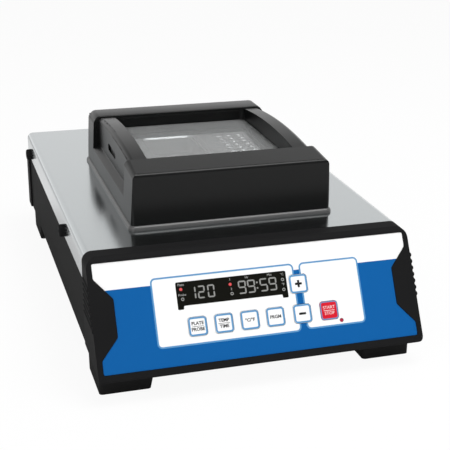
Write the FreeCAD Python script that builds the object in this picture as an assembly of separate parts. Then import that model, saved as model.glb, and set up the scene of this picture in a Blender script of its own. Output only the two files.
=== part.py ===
# Dry bath incubator: a heated block under a hinged hood, on a steel covered base.
# Millimetres. +X is right as seen from the control panel, +Y is back, +Z is up.
# The origin is under the middle of the instrument, on the surface that it stands on.
import FreeCAD
import Part
import math
import os

V = FreeCAD.Vector
X_AXIS = V(1, 0, 0)
Y_AXIS = V(0, 1, 0)
Z_AXIS = V(0, 0, 1)

# Steel cover
cover_width = 240.0
cover_length = 321.5
cover_top = 92.5
cover_sheet = 1.2
cover_bend = 5.0
cover_skirt_bottom = 72.2
cut_reach = 8.0

# Base tray
tray_bottom = 19.5
tray_sheet = 1.2
tray_bend = 3.0
tray_flange_height = 12.0
sheet_gap = 0.1
seam_gap = 0.2
overlap = 0.4
join = 0.01

# Front bezel
bezel_reach = 56.0
bezel_side_step = 0.5
bezel_top_step = 0.7
bezel_bottom = 17.5
bezel_wall = 3.0
bezel_top_radius = 7.0
bezel_bottom_radius = 5.0
bezel_brow_radius = 6.0
bezel_lip = 11.0
tongue_gap = 2.0
chin_height = 1.5
chin_land = 0.7
chin_radius = 0.8
panel_tilt = 29.2
grip_ribs = 7
grip_rib_radius = 1.7
grip_rib_sink = 0.8
grip_rib_pitch = 4.2
grip_rib_first = 49.5
grip_rib_end = 4.0
boss_radius = 3.5
boss_bore = 1.2
boss_inset = 4.0
boss_bore_depth = 7.0

# Control panel, in its own plane: u to the right, v up the slope, w out of the face
panel_side_margin = 3.3
panel_height = 77.1
panel_rim = 4.3
panel_recess = 0.5
overlay_thickness = 0.6
overlay_gap = 0.25
overlay_corner = 3.0
grip_notch_depth = 12.6
grip_notch_low = 10.0
grip_notch_high = 66.2
grip_notch_slope = 14.7
window_left = -59.5
window_right = 21.7
window_low = 41.3
window_high = 57.8
window_tab = 2.5
window_tab_width = 4.0
window_thickness = 1.5
window_gap = 0.2
window_rim = 2.0
window_rim_right = 0.7
key_size = 13.3
key_corner = 2.2
key_gap = 0.3
key_proud = 0.25
key_flange = 1.1
key_flange_thickness = 1.0
key_stem_radius = 2.5
key_stem_reach = 6.0
key_row_height = 25.9
key_row_start = -47.3
key_row_pitch = 19.1
key_start_offset = 50.8
key_sign_offset = 30.4
key_plus_height = 47.5
key_travel = 0.6
key_rest_gap = 0.2
key_edge_radius = 0.2
status_led_u = 59.3
status_led_v = 17.8
status_led_radius = 1.3
board_depth = 12.5
board_thickness = 1.6
board_left = -72.0
board_right = 72.0
board_low = 12.0
board_high = 64.0
board_chips = [(-20, -8, 30, 42, 1.6), (10, 30, 30, 37, 2.2), (-50, -30, 16, 24, 7.0)]
board_corner = 1.5
chip_corner = 0.5
board_screw_radius = 1.1
board_screw_head = 2.6
board_screw_head_height = 1.8
board_screw_length = 6.6
switch_size = 6.0
switch_body = 3.5
switch_plunger = 1.7
display_lens_gap = 0.3

# Feet
foot_width = 37.0
foot_length = 46.0
foot_outer_inset = 2.5
foot_inner_taper = 4.0
foot_end_taper = 2.5
foot_edge_radius = 2.5
foot_front_inset = 17.5
foot_rear_inset = 1.5
foot_screw_radius = 2.0
foot_screw_head = 4.0
foot_screw_seat = 5.0
foot_nut = 3.0
foot_screw_end = 5.0

# Cover screws
cover_screw_head_radius = 5.0
cover_screw_head_height = 4.4
cover_screw_radius = 1.9
cover_screw_height = 77.0
cover_screw_front = 88.0
cover_screw_rear = 21.0
cover_screw_length = 7.0
cover_screw_dome = 1.8
cover_screw_drive = 1.6

# Heated well
well_front = 60.5
block_width = 114.0
block_length = 131.0
block_top = 118.0
block_height = 40.0
block_seam = 0.4
block_corner = 2.0
tube_block_width = 45.6
well_clearance = 1.2
liner_sheet = 1.0
liner_height = 20.0
dish_left = 18.4
dish_width = 44.8
dish_length = 86.0
dish_rear_wall = 13.0
dish_depth = 15.0
dish_corner = 6.0
tube_columns = 3
tube_rows = 6
tube_pitch = 9.0
tube_bore = 6.6
tube_depth = 16.0
tube_side_wall = 10.6
tube_rear_wall = 25.5
heater_plate_margin = 5.0
heater_plate_thickness = 8.0
cartridge_radius = 3.1
cartridge_fit = 0.05
cartridge_distance = 70.0
cartridge_length = 114.0
cartridge_tail = 2.2
tail_length = 9.0
sensor_radius = 1.5
sensor_tail = 0.9
insulation_thickness = 10.0
insulation_margin = 3.0
post_radius = 5.0
post_inset = 12.0
cutout_cap_radius = 7.5
cutout_cap_height = 9.0
cutout_plate_height = 6.0

# Collar round the well
collar_margin = 1.7
collar_thickness = 3.5
collar_bead = 2.6
collar_corner = 5.2
collar_rim_wall = 2.6
collar_rim_height = 4.5
collar_tongue = 7.0
collar_tongue_wall = 1.5
collar_gap = 0.4
collar_opening_corner = 2.5

# Hood
hood_front = 32.0
hood_length = 187.5
hood_lean = 2.1
hood_clear_height = 60.0
hood_rest_gap = 0.2
hood_corner = 3.5
hood_front_rise = 43.0
hood_brow_rise = 45.5
hood_brow_length = 29.5
hood_brow_radius = 2.6
brow_end_radius = 4.0
hood_wall = 3.5
hood_core_gap = 1.5
hood_core_corner = 2.0
hood_core_step = 1.0
hood_bar_length = 26.0
hood_bar_rise = 44.6
hood_bar_radius = 8.0
bar_front_radius = 3.0
bar_end_radius = 6.0
rail_end_rise = 44.0
rail_crown_rise = 48.1
rail_half_width = 72.3
rail_edge_radius = 3.5
rail_width = 13.8
rail_root_inset = 0.5
ledge_width = 6.0
ledge_low_rise = 17.5
ledge_high_rise = 20.8
window_corner = 5.0
glass_overlap = 4.2
glass_level = 35.0
glass_thickness = 3.0
gasket_thickness = 1.0
clip_width = 10.0
clip_shares = [0.14, 0.6, 0.86]
clip_lip = 3.0
clip_sheet = 1.4
clip_screw_radius = 1.2
clip_screw_grip = 6.0
clip_screw_reach = 2.6
clip_screw_head = 2.2
clip_gap = 0.3
gasket_inset = 0.6
probe_hole_radius = 2.6
probe_hole_rise = 31.5
probe_hole_place = 60.0
probe_groove_length = 28.0
probe_groove_width = 5.8
probe_groove_depth = 1.6
bumper_radius = 3.0
bumper_height = 1.2
bumper_inset = 4.5
bumper_gap = 0.05
bumper_boss_wall = 1.0

# Hood hinge
hinge_back = 4.2
hinge_rise = 6.9
hinge_distance = 90.0
hinge_width = 26.0
knuckle_radius = 3.3
knuckle_gap = 0.3
pin_radius = 1.5
pin_fit = 0.05
hinge_leaf = 1.6
bracket_reach = 9.0
leaf_arm_drop = 1.0
leaf_arm_rise = 7.5
leaf_clear = 0.6
pin_head_radius = 2.4
pin_head = 1.0
hinge_leaf_height = 15.0

# Rear end
guard_reach = 10.0
guard_low = 22.0
guard_high = 70.0
guard_wall = 1.6
guard_overlap = 14.0
guard_corner = 8.0
guard_window_margin = 10.0
guard_window_corner = 4.0
guard_rim = 5.0
rear_panel_inset = 5.5
rear_panel_sheet = 1.5
vent_count = 9
vent_pitch = 7.0
vent_width = 3.0
vent_height = 26.0
vent_shift = 6.0
inlet_inset = 48.0
inlet_height = 46.0
inlet_width = 30.0
inlet_flange_height = 34.0
inlet_flange = 2.5
inlet_body_width = 27.0
inlet_body_height = 31.0
inlet_body_depth = 24.0
inlet_fit = 0.3
socket_width = 24.0
socket_height = 16.5
socket_depth = 17.0
socket_wall = 2.0
pin_length = 11.0
contact_places = [(-7, -2), (7, -2), (0, 2)]
contact_half = 1.0
socket_corner = 0.8
socket_top_corner = 4.5
inlet_flange_corner = 2.0
fuse_width = 20.0
fuse_height = 6.5
fuse_depth = 14.0
fuse_gap = 0.3
fuse_face = 1.0
fuse_wall = 1.5
fuse_lip = 1.2
fuse_lip_half = 4.0
fuse_radius = 2.4
switch_offset = 42.0
switch_width = 15.0
switch_height = 21.0
switch_flange = 2.0
switch_depth = 16.0
rocker_gap = 0.4
rocker_end_gap = 1.1
rocker_dip = 1.2
rocker_proud = 1.2
rocker_pin_radius = 1.2
rocker_pin_length = 12.6
rocker_axis_depth = 3.0
rocker_root = 1.5
jack_inset = 38.0
jack_radius = 4.5
jack_bore = 1.8
jack_nut_radius = 6.5
jack_nut = 2.2
jack_depth = 14.0
jack_end = 1.5
jack_shoulder = 3.0
jack_bore_depth = 12.0

# Electronics
power_board_width = 70.0
power_board_length = 80.0
power_board_inset = 44.0
power_board_setback = 12.0
transformer_size = 42.0
transformer_inset = 28.0
transformer_setback = 24.0
standoff_height = 6.0
standoff_radius = 3.0
standoff_inset = 5.0
heatsink_fins = 8
heatsink_fin = 1.5
heatsink_length = 34.0
heatsink_height = 26.0
heatsink_base = 3.0
heatsink_depth = 14.0
power_parts = [(30, 8, 18, 16, 14), (50, 66, 18, 10, 10)]
capacitor_radius = 8.0
capacitor_height = 22.0

# Places worked out from the sizes above
overall_depth = bezel_reach + cover_length + guard_reach
front = -overall_depth / 2
cover_front = front + bezel_reach
cover_rear = cover_front + cover_length
rear = cover_rear + guard_reach
cover_half = cover_width / 2
cover_inner = cover_half - cover_sheet
panel_half_width = cover_half - panel_side_margin
foot_outer = cover_half - foot_outer_inset
inlet_place = -cover_half + inlet_inset
switch_place = inlet_place + switch_offset
jack_place = cover_half - jack_inset
vent_centre = (switch_place + jack_place) / 2 - vent_shift
power_board_place = cover_half - power_board_inset
transformer_left = -cover_half + transformer_inset
tray_floor = tray_bottom + tray_sheet
bezel_half = cover_half + bezel_side_step
bezel_top = cover_top + bezel_top_step
tilt = math.radians(panel_tilt)
chin_top = bezel_bottom + chin_height
panel_angle = 90 - panel_tilt
panel_origin = V(0,
                 front + panel_rim * math.sin(tilt) + panel_recess * math.cos(tilt),
                 chin_top + panel_rim * math.cos(tilt) - panel_recess * math.sin(tilt))
bezel_face_back = panel_recess - bezel_wall
board_top = -board_depth
well_half = block_width / 2 + well_clearance
well_y0 = cover_front + well_front
well_length = block_length + 2 * well_clearance
well_y1 = well_y0 + well_length
block_y0 = well_y0 + well_clearance
block_y1 = block_y0 + block_length
block_bottom = block_top - block_height
tube_block_x0 = block_width / 2 - tube_block_width
dish_block_x1 = tube_block_x0 - block_seam
plate_bottom = block_bottom - heater_plate_thickness
insulation_bottom = plate_bottom - insulation_thickness
liner_half = well_half + liner_sheet
collar_inner = liner_half + collar_gap
collar_y0 = well_y0 - liner_sheet - collar_gap
collar_y1 = well_y1 + liner_sheet + collar_gap
collar_top = cover_top + collar_thickness
cutout_half = collar_inner + collar_tongue_wall + collar_gap
cutout_y0 = collar_y0 - collar_tongue_wall - collar_gap
cutout_y1 = collar_y1 + collar_tongue_wall + collar_gap
hood_half_width = rail_half_width + ledge_width
hood_top_half_width = hood_half_width - hood_lean
window_half_width = rail_half_width - rail_width
hood_y0 = cover_front + hood_front
hood_y1 = hood_y0 + hood_length
hood_bottom = collar_top + hood_rest_gap
brow_y = hood_y0 + hood_brow_length
bar_y = hood_y1 - hood_bar_length
bar_top = cover_top + hood_bar_rise
rail_end_top = cover_top + rail_end_rise
hood_clear_top = cover_top + hood_clear_height
window_y0 = brow_y
window_y1 = bar_y
glass_ceiling = cover_top + glass_level
glass_top = glass_ceiling - gasket_thickness
glass_bottom = glass_top - glass_thickness
glass_half = window_half_width + glass_overlap
glass_y0 = window_y0 - glass_overlap
glass_y1 = window_y1 + glass_overlap
rail_wall_inner = rail_half_width - hood_wall
hinge_y = hood_y1 + hinge_back
hinge_z = collar_top + hinge_rise - hood_rest_gap
rear_panel_y = cover_rear - rear_panel_inset


def box(x0, x1, y0, y1, z0, z1):
    """Box between two corners."""
    return Part.makeBox(x1 - x0, y1 - y0, z1 - z0, V(x0, y0, z0))


def cylinder(radius, length, start, direction):
    return Part.makeCylinder(radius, length, start, direction)


def fuse(shapes):
    """One solid from shapes that overlap or touch."""
    joined = shapes[0]
    if len(shapes) > 1:
        joined = joined.fuse(shapes[1:])
    return joined.removeSplitter()


def cut(shape, tools):
    return shape.cut(tools).removeSplitter()


def group(shapes):
    """Several separate solids kept in one node."""
    return Part.makeCompound(shapes)


def edges_at(shape, z):
    """The edges that lie at one level."""
    return [edge for edge in shape.Edges
            if abs(edge.BoundBox.ZMin - z) < 1e-6 and abs(edge.BoundBox.ZMax - z) < 1e-6]


def mirrored(shape):
    """Copy of a shape on the other side of the middle plane."""
    return shape.mirror(V(0, 0, 0), X_AXIS)


def rounded_outline(points, radii):
    """Closed wire through the points, each corner rounded by its radius."""
    count = len(points)
    ends = []
    edges = []
    for i in range(count):
        here = points[i]
        back = points[i - 1].sub(here)
        ahead = points[(i + 1) % count].sub(here)
        back.normalize()
        ahead.normalize()
        radius = radii[i]
        if radius == 0:
            ends.append((here, here))
            continue
        half = back.getAngle(ahead) / 2
        reach = radius / math.tan(half)
        middle = back.add(ahead)
        middle.normalize()
        centre = here.add(middle.multiply(radius / math.sin(half)))
        start = here.add(V(back).multiply(reach))
        stop = here.add(V(ahead).multiply(reach))
        inward = here.sub(centre)
        inward.normalize()
        crown = centre.add(inward.multiply(radius))
        ends.append((start, stop))
        edges.append(Part.Arc(start, crown, stop).toShape())
    for i in range(count):
        start = ends[i][1]
        stop = ends[(i + 1) % count][0]
        if start.distanceToPoint(stop) > 1e-6:
            edges.append(Part.makeLine(start, stop))
    return Part.Wire(Part.__sortEdges__(edges))


def prism(points, radii, direction):
    """Solid made by moving a rounded outline along a vector."""
    if not isinstance(radii, (list, tuple)):
        radii = [radii] * len(points)
    return Part.Face(rounded_outline(points, radii)).extrude(direction)


def plan_prism(x0, x1, y0, y1, radius, z0, z1):
    """Upright prism over a rounded rectangle."""
    corners = [V(x0, y0, z0), V(x1, y0, z0), V(x1, y1, z0), V(x0, y1, z0)]
    return prism(corners, radius, V(0, 0, z1 - z0))


def side_prism(points, radii, x0, x1):
    """Prism across X from (y, z) points."""
    return prism([V(x0, y, z) for y, z in points], radii, V(x1 - x0, 0, 0))


def front_prism(points, radii, y0, y1):
    """Prism along Y from (x, z) points."""
    return prism([V(x, y0, z) for x, z in points], radii, V(0, y1 - y0, 0))


def on_panel(shape):
    """Move a shape from panel coordinates (u, v, w) to its place."""
    placed = shape.copy()
    placed.rotate(V(0, 0, 0), X_AXIS, panel_angle)
    placed.translate(panel_origin)
    return placed


def panel_plate(u0, u1, v0, v1, radius, w0, w1):
    """Rounded plate in panel coordinates."""
    return plan_prism(u0, u1, v0, v1, radius, w0, w1)


# Base tray and steel cover

def base_tray():
    """Folded tray with two side walls, each stepped in where the cover overlaps it."""
    outline = [(-cover_half, cover_skirt_bottom - seam_gap), (-cover_half, tray_bottom),
               (cover_half, tray_bottom), (cover_half, cover_skirt_bottom - seam_gap)]
    y0 = cover_front + seam_gap
    y1 = rear_panel_y + rear_panel_sheet
    outer = front_prism(outline, [0, tray_bend, tray_bend, 0], y0, y1)
    inner_half = cover_half - tray_sheet
    inside = [(-inner_half, cover_top), (-inner_half, tray_floor),
              (inner_half, tray_floor), (inner_half, cover_top)]
    outer = outer.cut(front_prism(inside, [0, tray_bend - tray_sheet, tray_bend - tray_sheet, 0], y0, y1))
    flange_x1 = cover_inner - sheet_gap
    flange_x0 = flange_x1 - tray_sheet
    flange_top = cover_skirt_bottom + tray_flange_height
    step_low = cover_skirt_bottom - seam_gap - tray_sheet
    flange = box(flange_x0, flange_x1, y0, y1, step_low, flange_top)
    shelf = box(flange_x0, inner_half, y0, y1, step_low, step_low + tray_sheet)
    tongue = box(-cover_half + bezel_wall + 1, cover_half - bezel_wall - 1,
                 front + bezel_lip + tongue_gap, y0, tray_bottom, tray_floor)
    body = fuse([outer, flange, mirrored(flange), shelf, mirrored(shelf), tongue])
    holes = cover_screw_holes()
    for x, y in foot_screw_places():
        holes.append(cylinder(foot_screw_radius + sheet_gap, tray_sheet, V(x, y, tray_bottom), Z_AXIS))
    return cut(body, holes)


def cover_screw_places():
    """Outer seat of each cover screw's head and the direction that it points out."""
    places = []
    for y in (cover_front + cover_screw_front, cover_rear - cover_screw_rear):
        for side in (-1, 1):
            places.append((side * cover_half, y, cover_screw_height, V(side, 0, 0)))
    return places


def cover_screw_holes():
    """Clearance for each cover screw through the cover and the tray's flange."""
    return [cylinder(cover_screw_radius + sheet_gap, cover_screw_length, V(x, y, z), direction.negative())
            for x, y, z, direction in cover_screw_places()]


def cover_screws():
    """Dome headed screws through the cover into the tray."""
    screws = []
    for x, y, z, direction in cover_screw_places():
        seat = V(x, y, z)
        head = cylinder(cover_screw_head_radius, cover_screw_head_height, seat, direction)
        rim = [edge for edge in head.Edges
               if edge.Curve.TypeId == "Part::GeomCircle" and abs(edge.CenterOfMass.x) > cover_half + 1]
        head = head.makeFillet(cover_screw_dome, rim)
        shank = cylinder(cover_screw_radius, cover_screw_length, seat, direction.negative())
        crown = seat.add(V(direction).multiply(cover_screw_head_height))
        drive = cylinder(cover_screw_drive, cover_screw_dome, crown, direction.negative())
        screws.append(cut(fuse([head, shank]), [drive]))
    return group(screws)


def top_cover():
    """Brushed steel cover folded down both sides, open round the heated well."""
    outline = [(-cover_half, cover_skirt_bottom), (-cover_half, cover_top),
               (cover_half, cover_top), (cover_half, cover_skirt_bottom)]
    outer = front_prism(outline, [0, cover_bend, cover_bend, 0], cover_front, cover_rear)
    top = cover_top - cover_sheet
    inside = [(-cover_inner, cover_skirt_bottom), (-cover_inner, top),
              (cover_inner, top), (cover_inner, cover_skirt_bottom)]
    bend = cover_bend - cover_sheet
    outer = outer.cut(front_prism(inside, [0, bend, bend, 0], cover_front, cover_rear))
    opening = plan_prism(-cutout_half, cutout_half, cutout_y0, cutout_y1, collar_opening_corner,
                         top, cover_top)
    return cut(outer, [opening] + cover_screw_holes())


# Front bezel and what it carries

def bezel_profile(inset, y_back):
    """Side profile of the bezel, moved in by a wall thickness."""
    lean = math.tan(tilt)
    slant = inset / math.cos(tilt)
    bottom = bezel_bottom + inset
    top = bezel_top - inset
    y_high = front + slant + (top - chin_top) * lean
    if inset == 0:
        chamfer = chin_height - chin_land
        points = [(y_back, bottom), (front + chamfer, bottom), (front, bottom + chamfer), (front, chin_top),
                  (y_high, top), (y_back, top)]
        radii = [0, chin_radius, chin_radius, chin_radius, bezel_brow_radius, 0]
    else:
        y_low = front + slant + (bottom - chin_top) * lean
        points = [(y_back, bottom), (y_low, bottom), (y_high, top), (y_back, top)]
        radii = [0, 0, bezel_brow_radius - inset, 0]
    return points, radii


def bezel_outline(inset):
    """Front outline of the bezel, moved in by a wall thickness."""
    half = bezel_half - inset
    low = bezel_bottom + inset
    high = bezel_top - inset
    points = [(-half, low), (half, low), (half, high), (-half, high)]
    radii = [bezel_bottom_radius - inset, bezel_bottom_radius - inset,
             bezel_top_radius - inset, bezel_top_radius - inset]
    return points, radii


def overlay_outline(gap):
    """Outline of the printed panel with its two grip notches, as points and radii."""
    half = panel_half_width - gap
    inner = panel_half_width - grip_notch_depth - gap
    right = [V(half, gap, 0), V(half, grip_notch_low, 0),
             V(inner, grip_notch_low + grip_notch_slope, 0), V(inner, grip_notch_high - grip_notch_slope, 0),
             V(half, grip_notch_high, 0), V(half, panel_height - gap, 0)]
    left = [V(-p.x, p.y, 0) for p in reversed(right)]
    corner = [1.2] + [overlay_corner] * 4 + [1.2]
    return right + left, corner + corner


def window_outline(gap):
    """Outline of the display window with its two small tabs, as points and radii."""
    left = window_left - gap
    right = window_right + gap
    low = window_low - gap
    tab = low - window_tab
    high = window_high + gap
    tab_in = window_tab_width + 2 * gap
    points = [V(left, tab, 0), V(left + tab_in, tab, 0), V(left + tab_in, low, 0), V(right - tab_in, low, 0),
              V(right - tab_in, tab, 0), V(right, tab, 0), V(right, high, 0), V(left, high, 0)]
    return points, [0.8, 0.8, 0.8, 0.8, 0.8, 0.8, 1.2, 1.2]


def key_places():
    """Node name and panel place of each key."""
    row = [key_row_start + i * key_row_pitch for i in range(4)]
    return {
        "key_plate_probe": (row[0], key_row_height),
        "key_temp_time": (row[1], key_row_height),
        "key_units": (row[2], key_row_height),
        "key_program": (row[3], key_row_height),
        "key_plus": (key_sign_offset, key_plus_height),
        "key_minus": (key_sign_offset, key_row_height),
        "key_start_stop": (key_start_offset, key_row_height),
    }


def key_square(place, grow, w0, w1):
    """Rounded square round a key's place."""
    u, v = place
    half = key_size / 2 + grow
    return panel_plate(u - half, u + half, v - half, v + half, key_corner + grow, w0, w1)


def board_boss_places():
    return [(u, v) for u in (board_left + boss_inset, board_right - boss_inset)
            for v in (board_low + boss_inset, board_high - boss_inset)]


def front_bezel():
    """Moulded front frame: sloped face, recess for the panel, ribbed grips and board bosses."""
    points, radii = bezel_profile(0, cover_front)
    side = side_prism(points, radii, -bezel_half - 5, bezel_half + 5)
    points, radii = bezel_outline(0)
    shell = side.common(front_prism(points, radii, front - 5, cover_front))
    points, radii = bezel_profile(bezel_wall, cover_front + 1)
    inner = side_prism(points, radii, -bezel_half, bezel_half)
    points, radii = bezel_outline(bezel_wall)
    inner = inner.common(front_prism(points, radii, front - 5, cover_front + 1))
    shell = shell.cut(inner)
    ribs = []
    for i in range(grip_ribs):
        z = grip_rib_first + i * grip_rib_pitch
        start = V(bezel_half - grip_rib_sink, front, z)
        rib = cylinder(grip_rib_radius, bezel_reach - grip_rib_end, start, Y_AXIS)
        ribs.append(rib.common(side))
    shell = fuse([shell] + ribs + [mirrored(rib) for rib in ribs])
    outline, corner = overlay_outline(0)
    recess = prism(outline, corner, V(0, 0, 4))
    recess.translate(V(0, 0, -overlay_thickness))
    outline, corner = window_outline(window_gap)
    window = prism(outline, corner, V(0, 0, cut_reach))
    window.translate(V(0, 0, -cut_reach / 2))
    holes = [recess, window]
    for place in key_places().values():
        holes.append(key_square(place, key_gap, -6, 3))
    led_start = V(status_led_u, status_led_v, -cut_reach / 2)
    holes.append(cylinder(status_led_radius + window_gap, cut_reach, led_start, Z_AXIS))
    shell = shell.cut([on_panel(hole) for hole in holes])
    floor_half = bezel_half - bezel_wall
    shell = shell.cut(box(-floor_half, floor_half, front + bezel_lip, cover_front + 1, 0, tray_floor))
    bosses = []
    for u, v in board_boss_places():
        boss = cylinder(boss_radius, bezel_face_back - board_top + overlap, V(u, v, board_top), Z_AXIS)
        bore = cylinder(boss_bore, boss_bore_depth, V(u, v, board_top), Z_AXIS)
        bosses.append(on_panel(boss.cut(bore)))
    return fuse([shell] + bosses)


def panel_overlay():
    """Printed film on the bezel's face, open over the display and the keys."""
    outline, corner = overlay_outline(overlay_gap)
    film = prism(outline, corner, V(0, 0, overlay_thickness))
    film.translate(V(0, 0, -overlay_thickness))
    holes = [key_square(place, key_gap, -2, 2) for place in key_places().values()]
    outline, corner = window_outline(window_gap)
    window = prism(outline, corner, V(0, 0, 4))
    window.translate(V(0, 0, -2))
    holes.append(window)
    holes.append(cylinder(status_led_radius + window_gap, 4, V(status_led_u, status_led_v, -2), Z_AXIS))
    return on_panel(cut(film, holes))


def display_window():
    """Smoked window flush with the panel, on a rim behind the bezel's face."""
    outline, corner = window_outline(0)
    depth = -bezel_face_back
    pane = prism(outline, corner, V(0, 0, depth))
    pane.translate(V(0, 0, -depth))
    low = window_low - window_tab
    rim = panel_plate(window_left - window_rim, window_right + window_rim_right, low - window_rim,
                      window_high + window_rim, window_rim_right, -depth - window_thickness, -depth)
    return on_panel(fuse([pane, rim]))


def display_module():
    """Numeric display and indicators, on the control board behind the window."""
    top = bezel_face_back - window_thickness - display_lens_gap
    body = panel_plate(window_left, window_right, window_low - window_tab, window_high, 1.0, board_top, top)
    return on_panel(body)


def control_board():
    back = board_top - board_thickness
    board = panel_plate(board_left, board_right, board_low, board_high, board_corner, back, board_top)
    holes = [cylinder(board_screw_radius + sheet_gap, board_thickness, V(u, v, back), Z_AXIS)
             for u, v in board_boss_places()]
    chips = [panel_plate(u0, u1, v0, v1, chip_corner, back - height, back)
             for u0, u1, v0, v1, height in board_chips]
    return on_panel(fuse([cut(board, holes)] + chips))


def board_screws():
    """Screws that hold the control board on the bezel's bosses."""
    screws = []
    back = board_top - board_thickness
    for u, v in board_boss_places():
        shank = cylinder(board_screw_radius, board_screw_length, V(u, v, back), Z_AXIS)
        start = V(u, v, back - board_screw_head_height)
        head = cylinder(board_screw_head, board_screw_head_height, start, Z_AXIS)
        screws.append(on_panel(fuse([shank, head])))
    return group(screws)


def key_switches():
    """One push switch on the board behind each key."""
    half = switch_size / 2
    plunger_top = -key_stem_reach - key_travel - key_rest_gap
    switches = []
    for u, v in key_places().values():
        body = panel_plate(u - half, u + half, v - half, v + half, chip_corner,
                           board_top, board_top + switch_body)
        plunger = cylinder(switch_plunger, plunger_top - board_top, V(u, v, board_top), Z_AXIS)
        switches.append(on_panel(fuse([body, plunger])))
    return group(switches)


def key(place):
    """Key cap with a flange behind the bezel's face and a stem over its switch."""
    u, v = place
    cap = key_square(place, 0, bezel_face_back - seam_gap, key_proud)
    cap = cap.makeFillet(key_edge_radius, edges_at(cap, key_proud))
    low = bezel_face_back - seam_gap - key_flange_thickness
    flange = key_square(place, key_flange, low, bezel_face_back - seam_gap)
    stem = cylinder(key_stem_radius, key_stem_reach + low, V(u, v, -key_stem_reach), Z_AXIS)
    return on_panel(fuse([cap, flange, stem]))


def status_led():
    lens = cylinder(status_led_radius, board_depth - 0.2, V(status_led_u, status_led_v, board_top), Z_AXIS)
    return on_panel(lens)


# Feet

def foot_places():
    """Outer front corner of each foot, by name."""
    y_front = front + foot_front_inset
    y_rear = cover_rear - foot_rear_inset - foot_length
    return {
        "foot_front_left": (-1, y_front),
        "foot_front_right": (1, y_front),
        "foot_rear_left": (-1, y_rear),
        "foot_rear_right": (1, y_rear),
    }


def foot_screw_places():
    places = []
    x = foot_outer - foot_width / 2
    for side, y in foot_places().values():
        places.append((side * x, y + foot_length / 2))
    return places


def foot(side, y0):
    """Tapered moulded foot, wide under the tray and narrow at the table."""
    x1 = foot_outer
    x0 = foot_outer - foot_width
    y1 = y0 + foot_length
    low = [V(x0, y0, 0), V(x1, y0, 0), V(x1, y1 - foot_end_taper, 0), V(x0, y1 - foot_end_taper, 0)]
    z = tray_bottom
    high = [V(x0 - foot_inner_taper, y0, z), V(x1, y0, z), V(x1, y1, z), V(x0 - foot_inner_taper, y1, z)]
    radii = [foot_edge_radius] * 4
    body = Part.makeLoft([rounded_outline(low, radii), rounded_outline(high, radii)], True)
    x = foot_outer - foot_width / 2
    y = y0 + foot_length / 2
    well = cylinder(foot_screw_head + 1, foot_screw_seat + foot_nut, V(x, y, 0), Z_AXIS)
    bore = cylinder(foot_screw_radius + sheet_gap, z, V(x, y, 0), Z_AXIS)
    body = cut(body, [well, bore])
    return body if side > 0 else mirrored(body)


def foot_screws():
    """One screw up through each foot into the tray, with its nut inside."""
    screws = []
    for x, y in foot_screw_places():
        seat = foot_screw_seat + foot_nut
        head = cylinder(foot_screw_head, foot_nut, V(x, y, foot_screw_seat), Z_AXIS)
        shank = cylinder(foot_screw_radius, tray_floor + foot_screw_end - seat, V(x, y, seat), Z_AXIS)
        nut = cylinder(foot_screw_head, foot_nut, V(x, y, tray_floor), Z_AXIS)
        screws.append(fuse([head, shank, nut]))
    return group(screws)


# Heated well

def heater_plate_span():
    half = block_width / 2 + heater_plate_margin
    return half, block_y0 - heater_plate_margin, block_y1 + heater_plate_margin


def cartridge_places():
    middle = (block_y0 + block_y1) / 2
    return [middle - cartridge_distance / 2, middle + cartridge_distance / 2]


def heater_plate():
    """Aluminium plate under the blocks, bored for its heaters and sensor."""
    half, y0, y1 = heater_plate_span()
    plate = plan_prism(-half, half, y0, y1, 3, plate_bottom, block_bottom)
    z = (plate_bottom + block_bottom) / 2
    holes = []
    for y in cartridge_places():
        holes.append(cylinder(cartridge_radius + cartridge_fit, cartridge_length, V(-half, y, z), X_AXIS))
    holes.append(cylinder(sensor_radius + cartridge_fit, half, V(-half, (y0 + y1) / 2, z), X_AXIS))
    return cut(plate, holes)


def cartridge_heaters():
    half, y0, y1 = heater_plate_span()
    z = (plate_bottom + block_bottom) / 2
    heaters = []
    for y in cartridge_places():
        rod = cylinder(cartridge_radius, cartridge_length, V(-half, y, z), X_AXIS)
        tail = cylinder(cartridge_tail, tail_length, V(-half - tail_length, y, z), X_AXIS)
        heaters.append(fuse([rod, tail]))
    return group(heaters)


def temperature_sensor():
    half, y0, y1 = heater_plate_span()
    z = (plate_bottom + block_bottom) / 2
    y = (y0 + y1) / 2
    rod = cylinder(sensor_radius, half, V(-half, y, z), X_AXIS)
    tail = cylinder(sensor_tail, tail_length, V(-half - tail_length, y, z), X_AXIS)
    return fuse([rod, tail])


def insulation_pad():
    """Insulating board between the heater plate and its posts."""
    half, y0, y1 = heater_plate_span()
    margin = insulation_margin
    pad = plan_prism(-half - margin, half + margin, y0 - margin, y1 + margin, block_corner,
                     insulation_bottom, plate_bottom)
    middle = V(0, (y0 + y1) / 2, insulation_bottom)
    room = cylinder(cutout_cap_radius + collar_gap, insulation_thickness, middle, Z_AXIS)
    return cut(pad, [room])


def thermal_cutout():
    """Over temperature switch held against the underside of the heater plate."""
    half, y0, y1 = heater_plate_span()
    y = (y0 + y1) / 2
    z = plate_bottom - cutout_plate_height
    body = cylinder(cutout_cap_radius, cutout_plate_height, V(0, y, z), Z_AXIS)
    cap = cylinder(cutout_cap_radius - 1.5, cutout_cap_height, V(0, y, z - cutout_cap_height), Z_AXIS)
    return fuse([body, cap])


def support_posts():
    """Four posts that carry the heated well on the tray."""
    half, y0, y1 = heater_plate_span()
    posts = []
    for x in (-half + post_inset, half - post_inset):
        for y in (y0 + post_inset, y1 - post_inset):
            posts.append(cylinder(post_radius, insulation_bottom - tray_floor, V(x, y, tray_floor), Z_AXIS))
    return group(posts)


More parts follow.
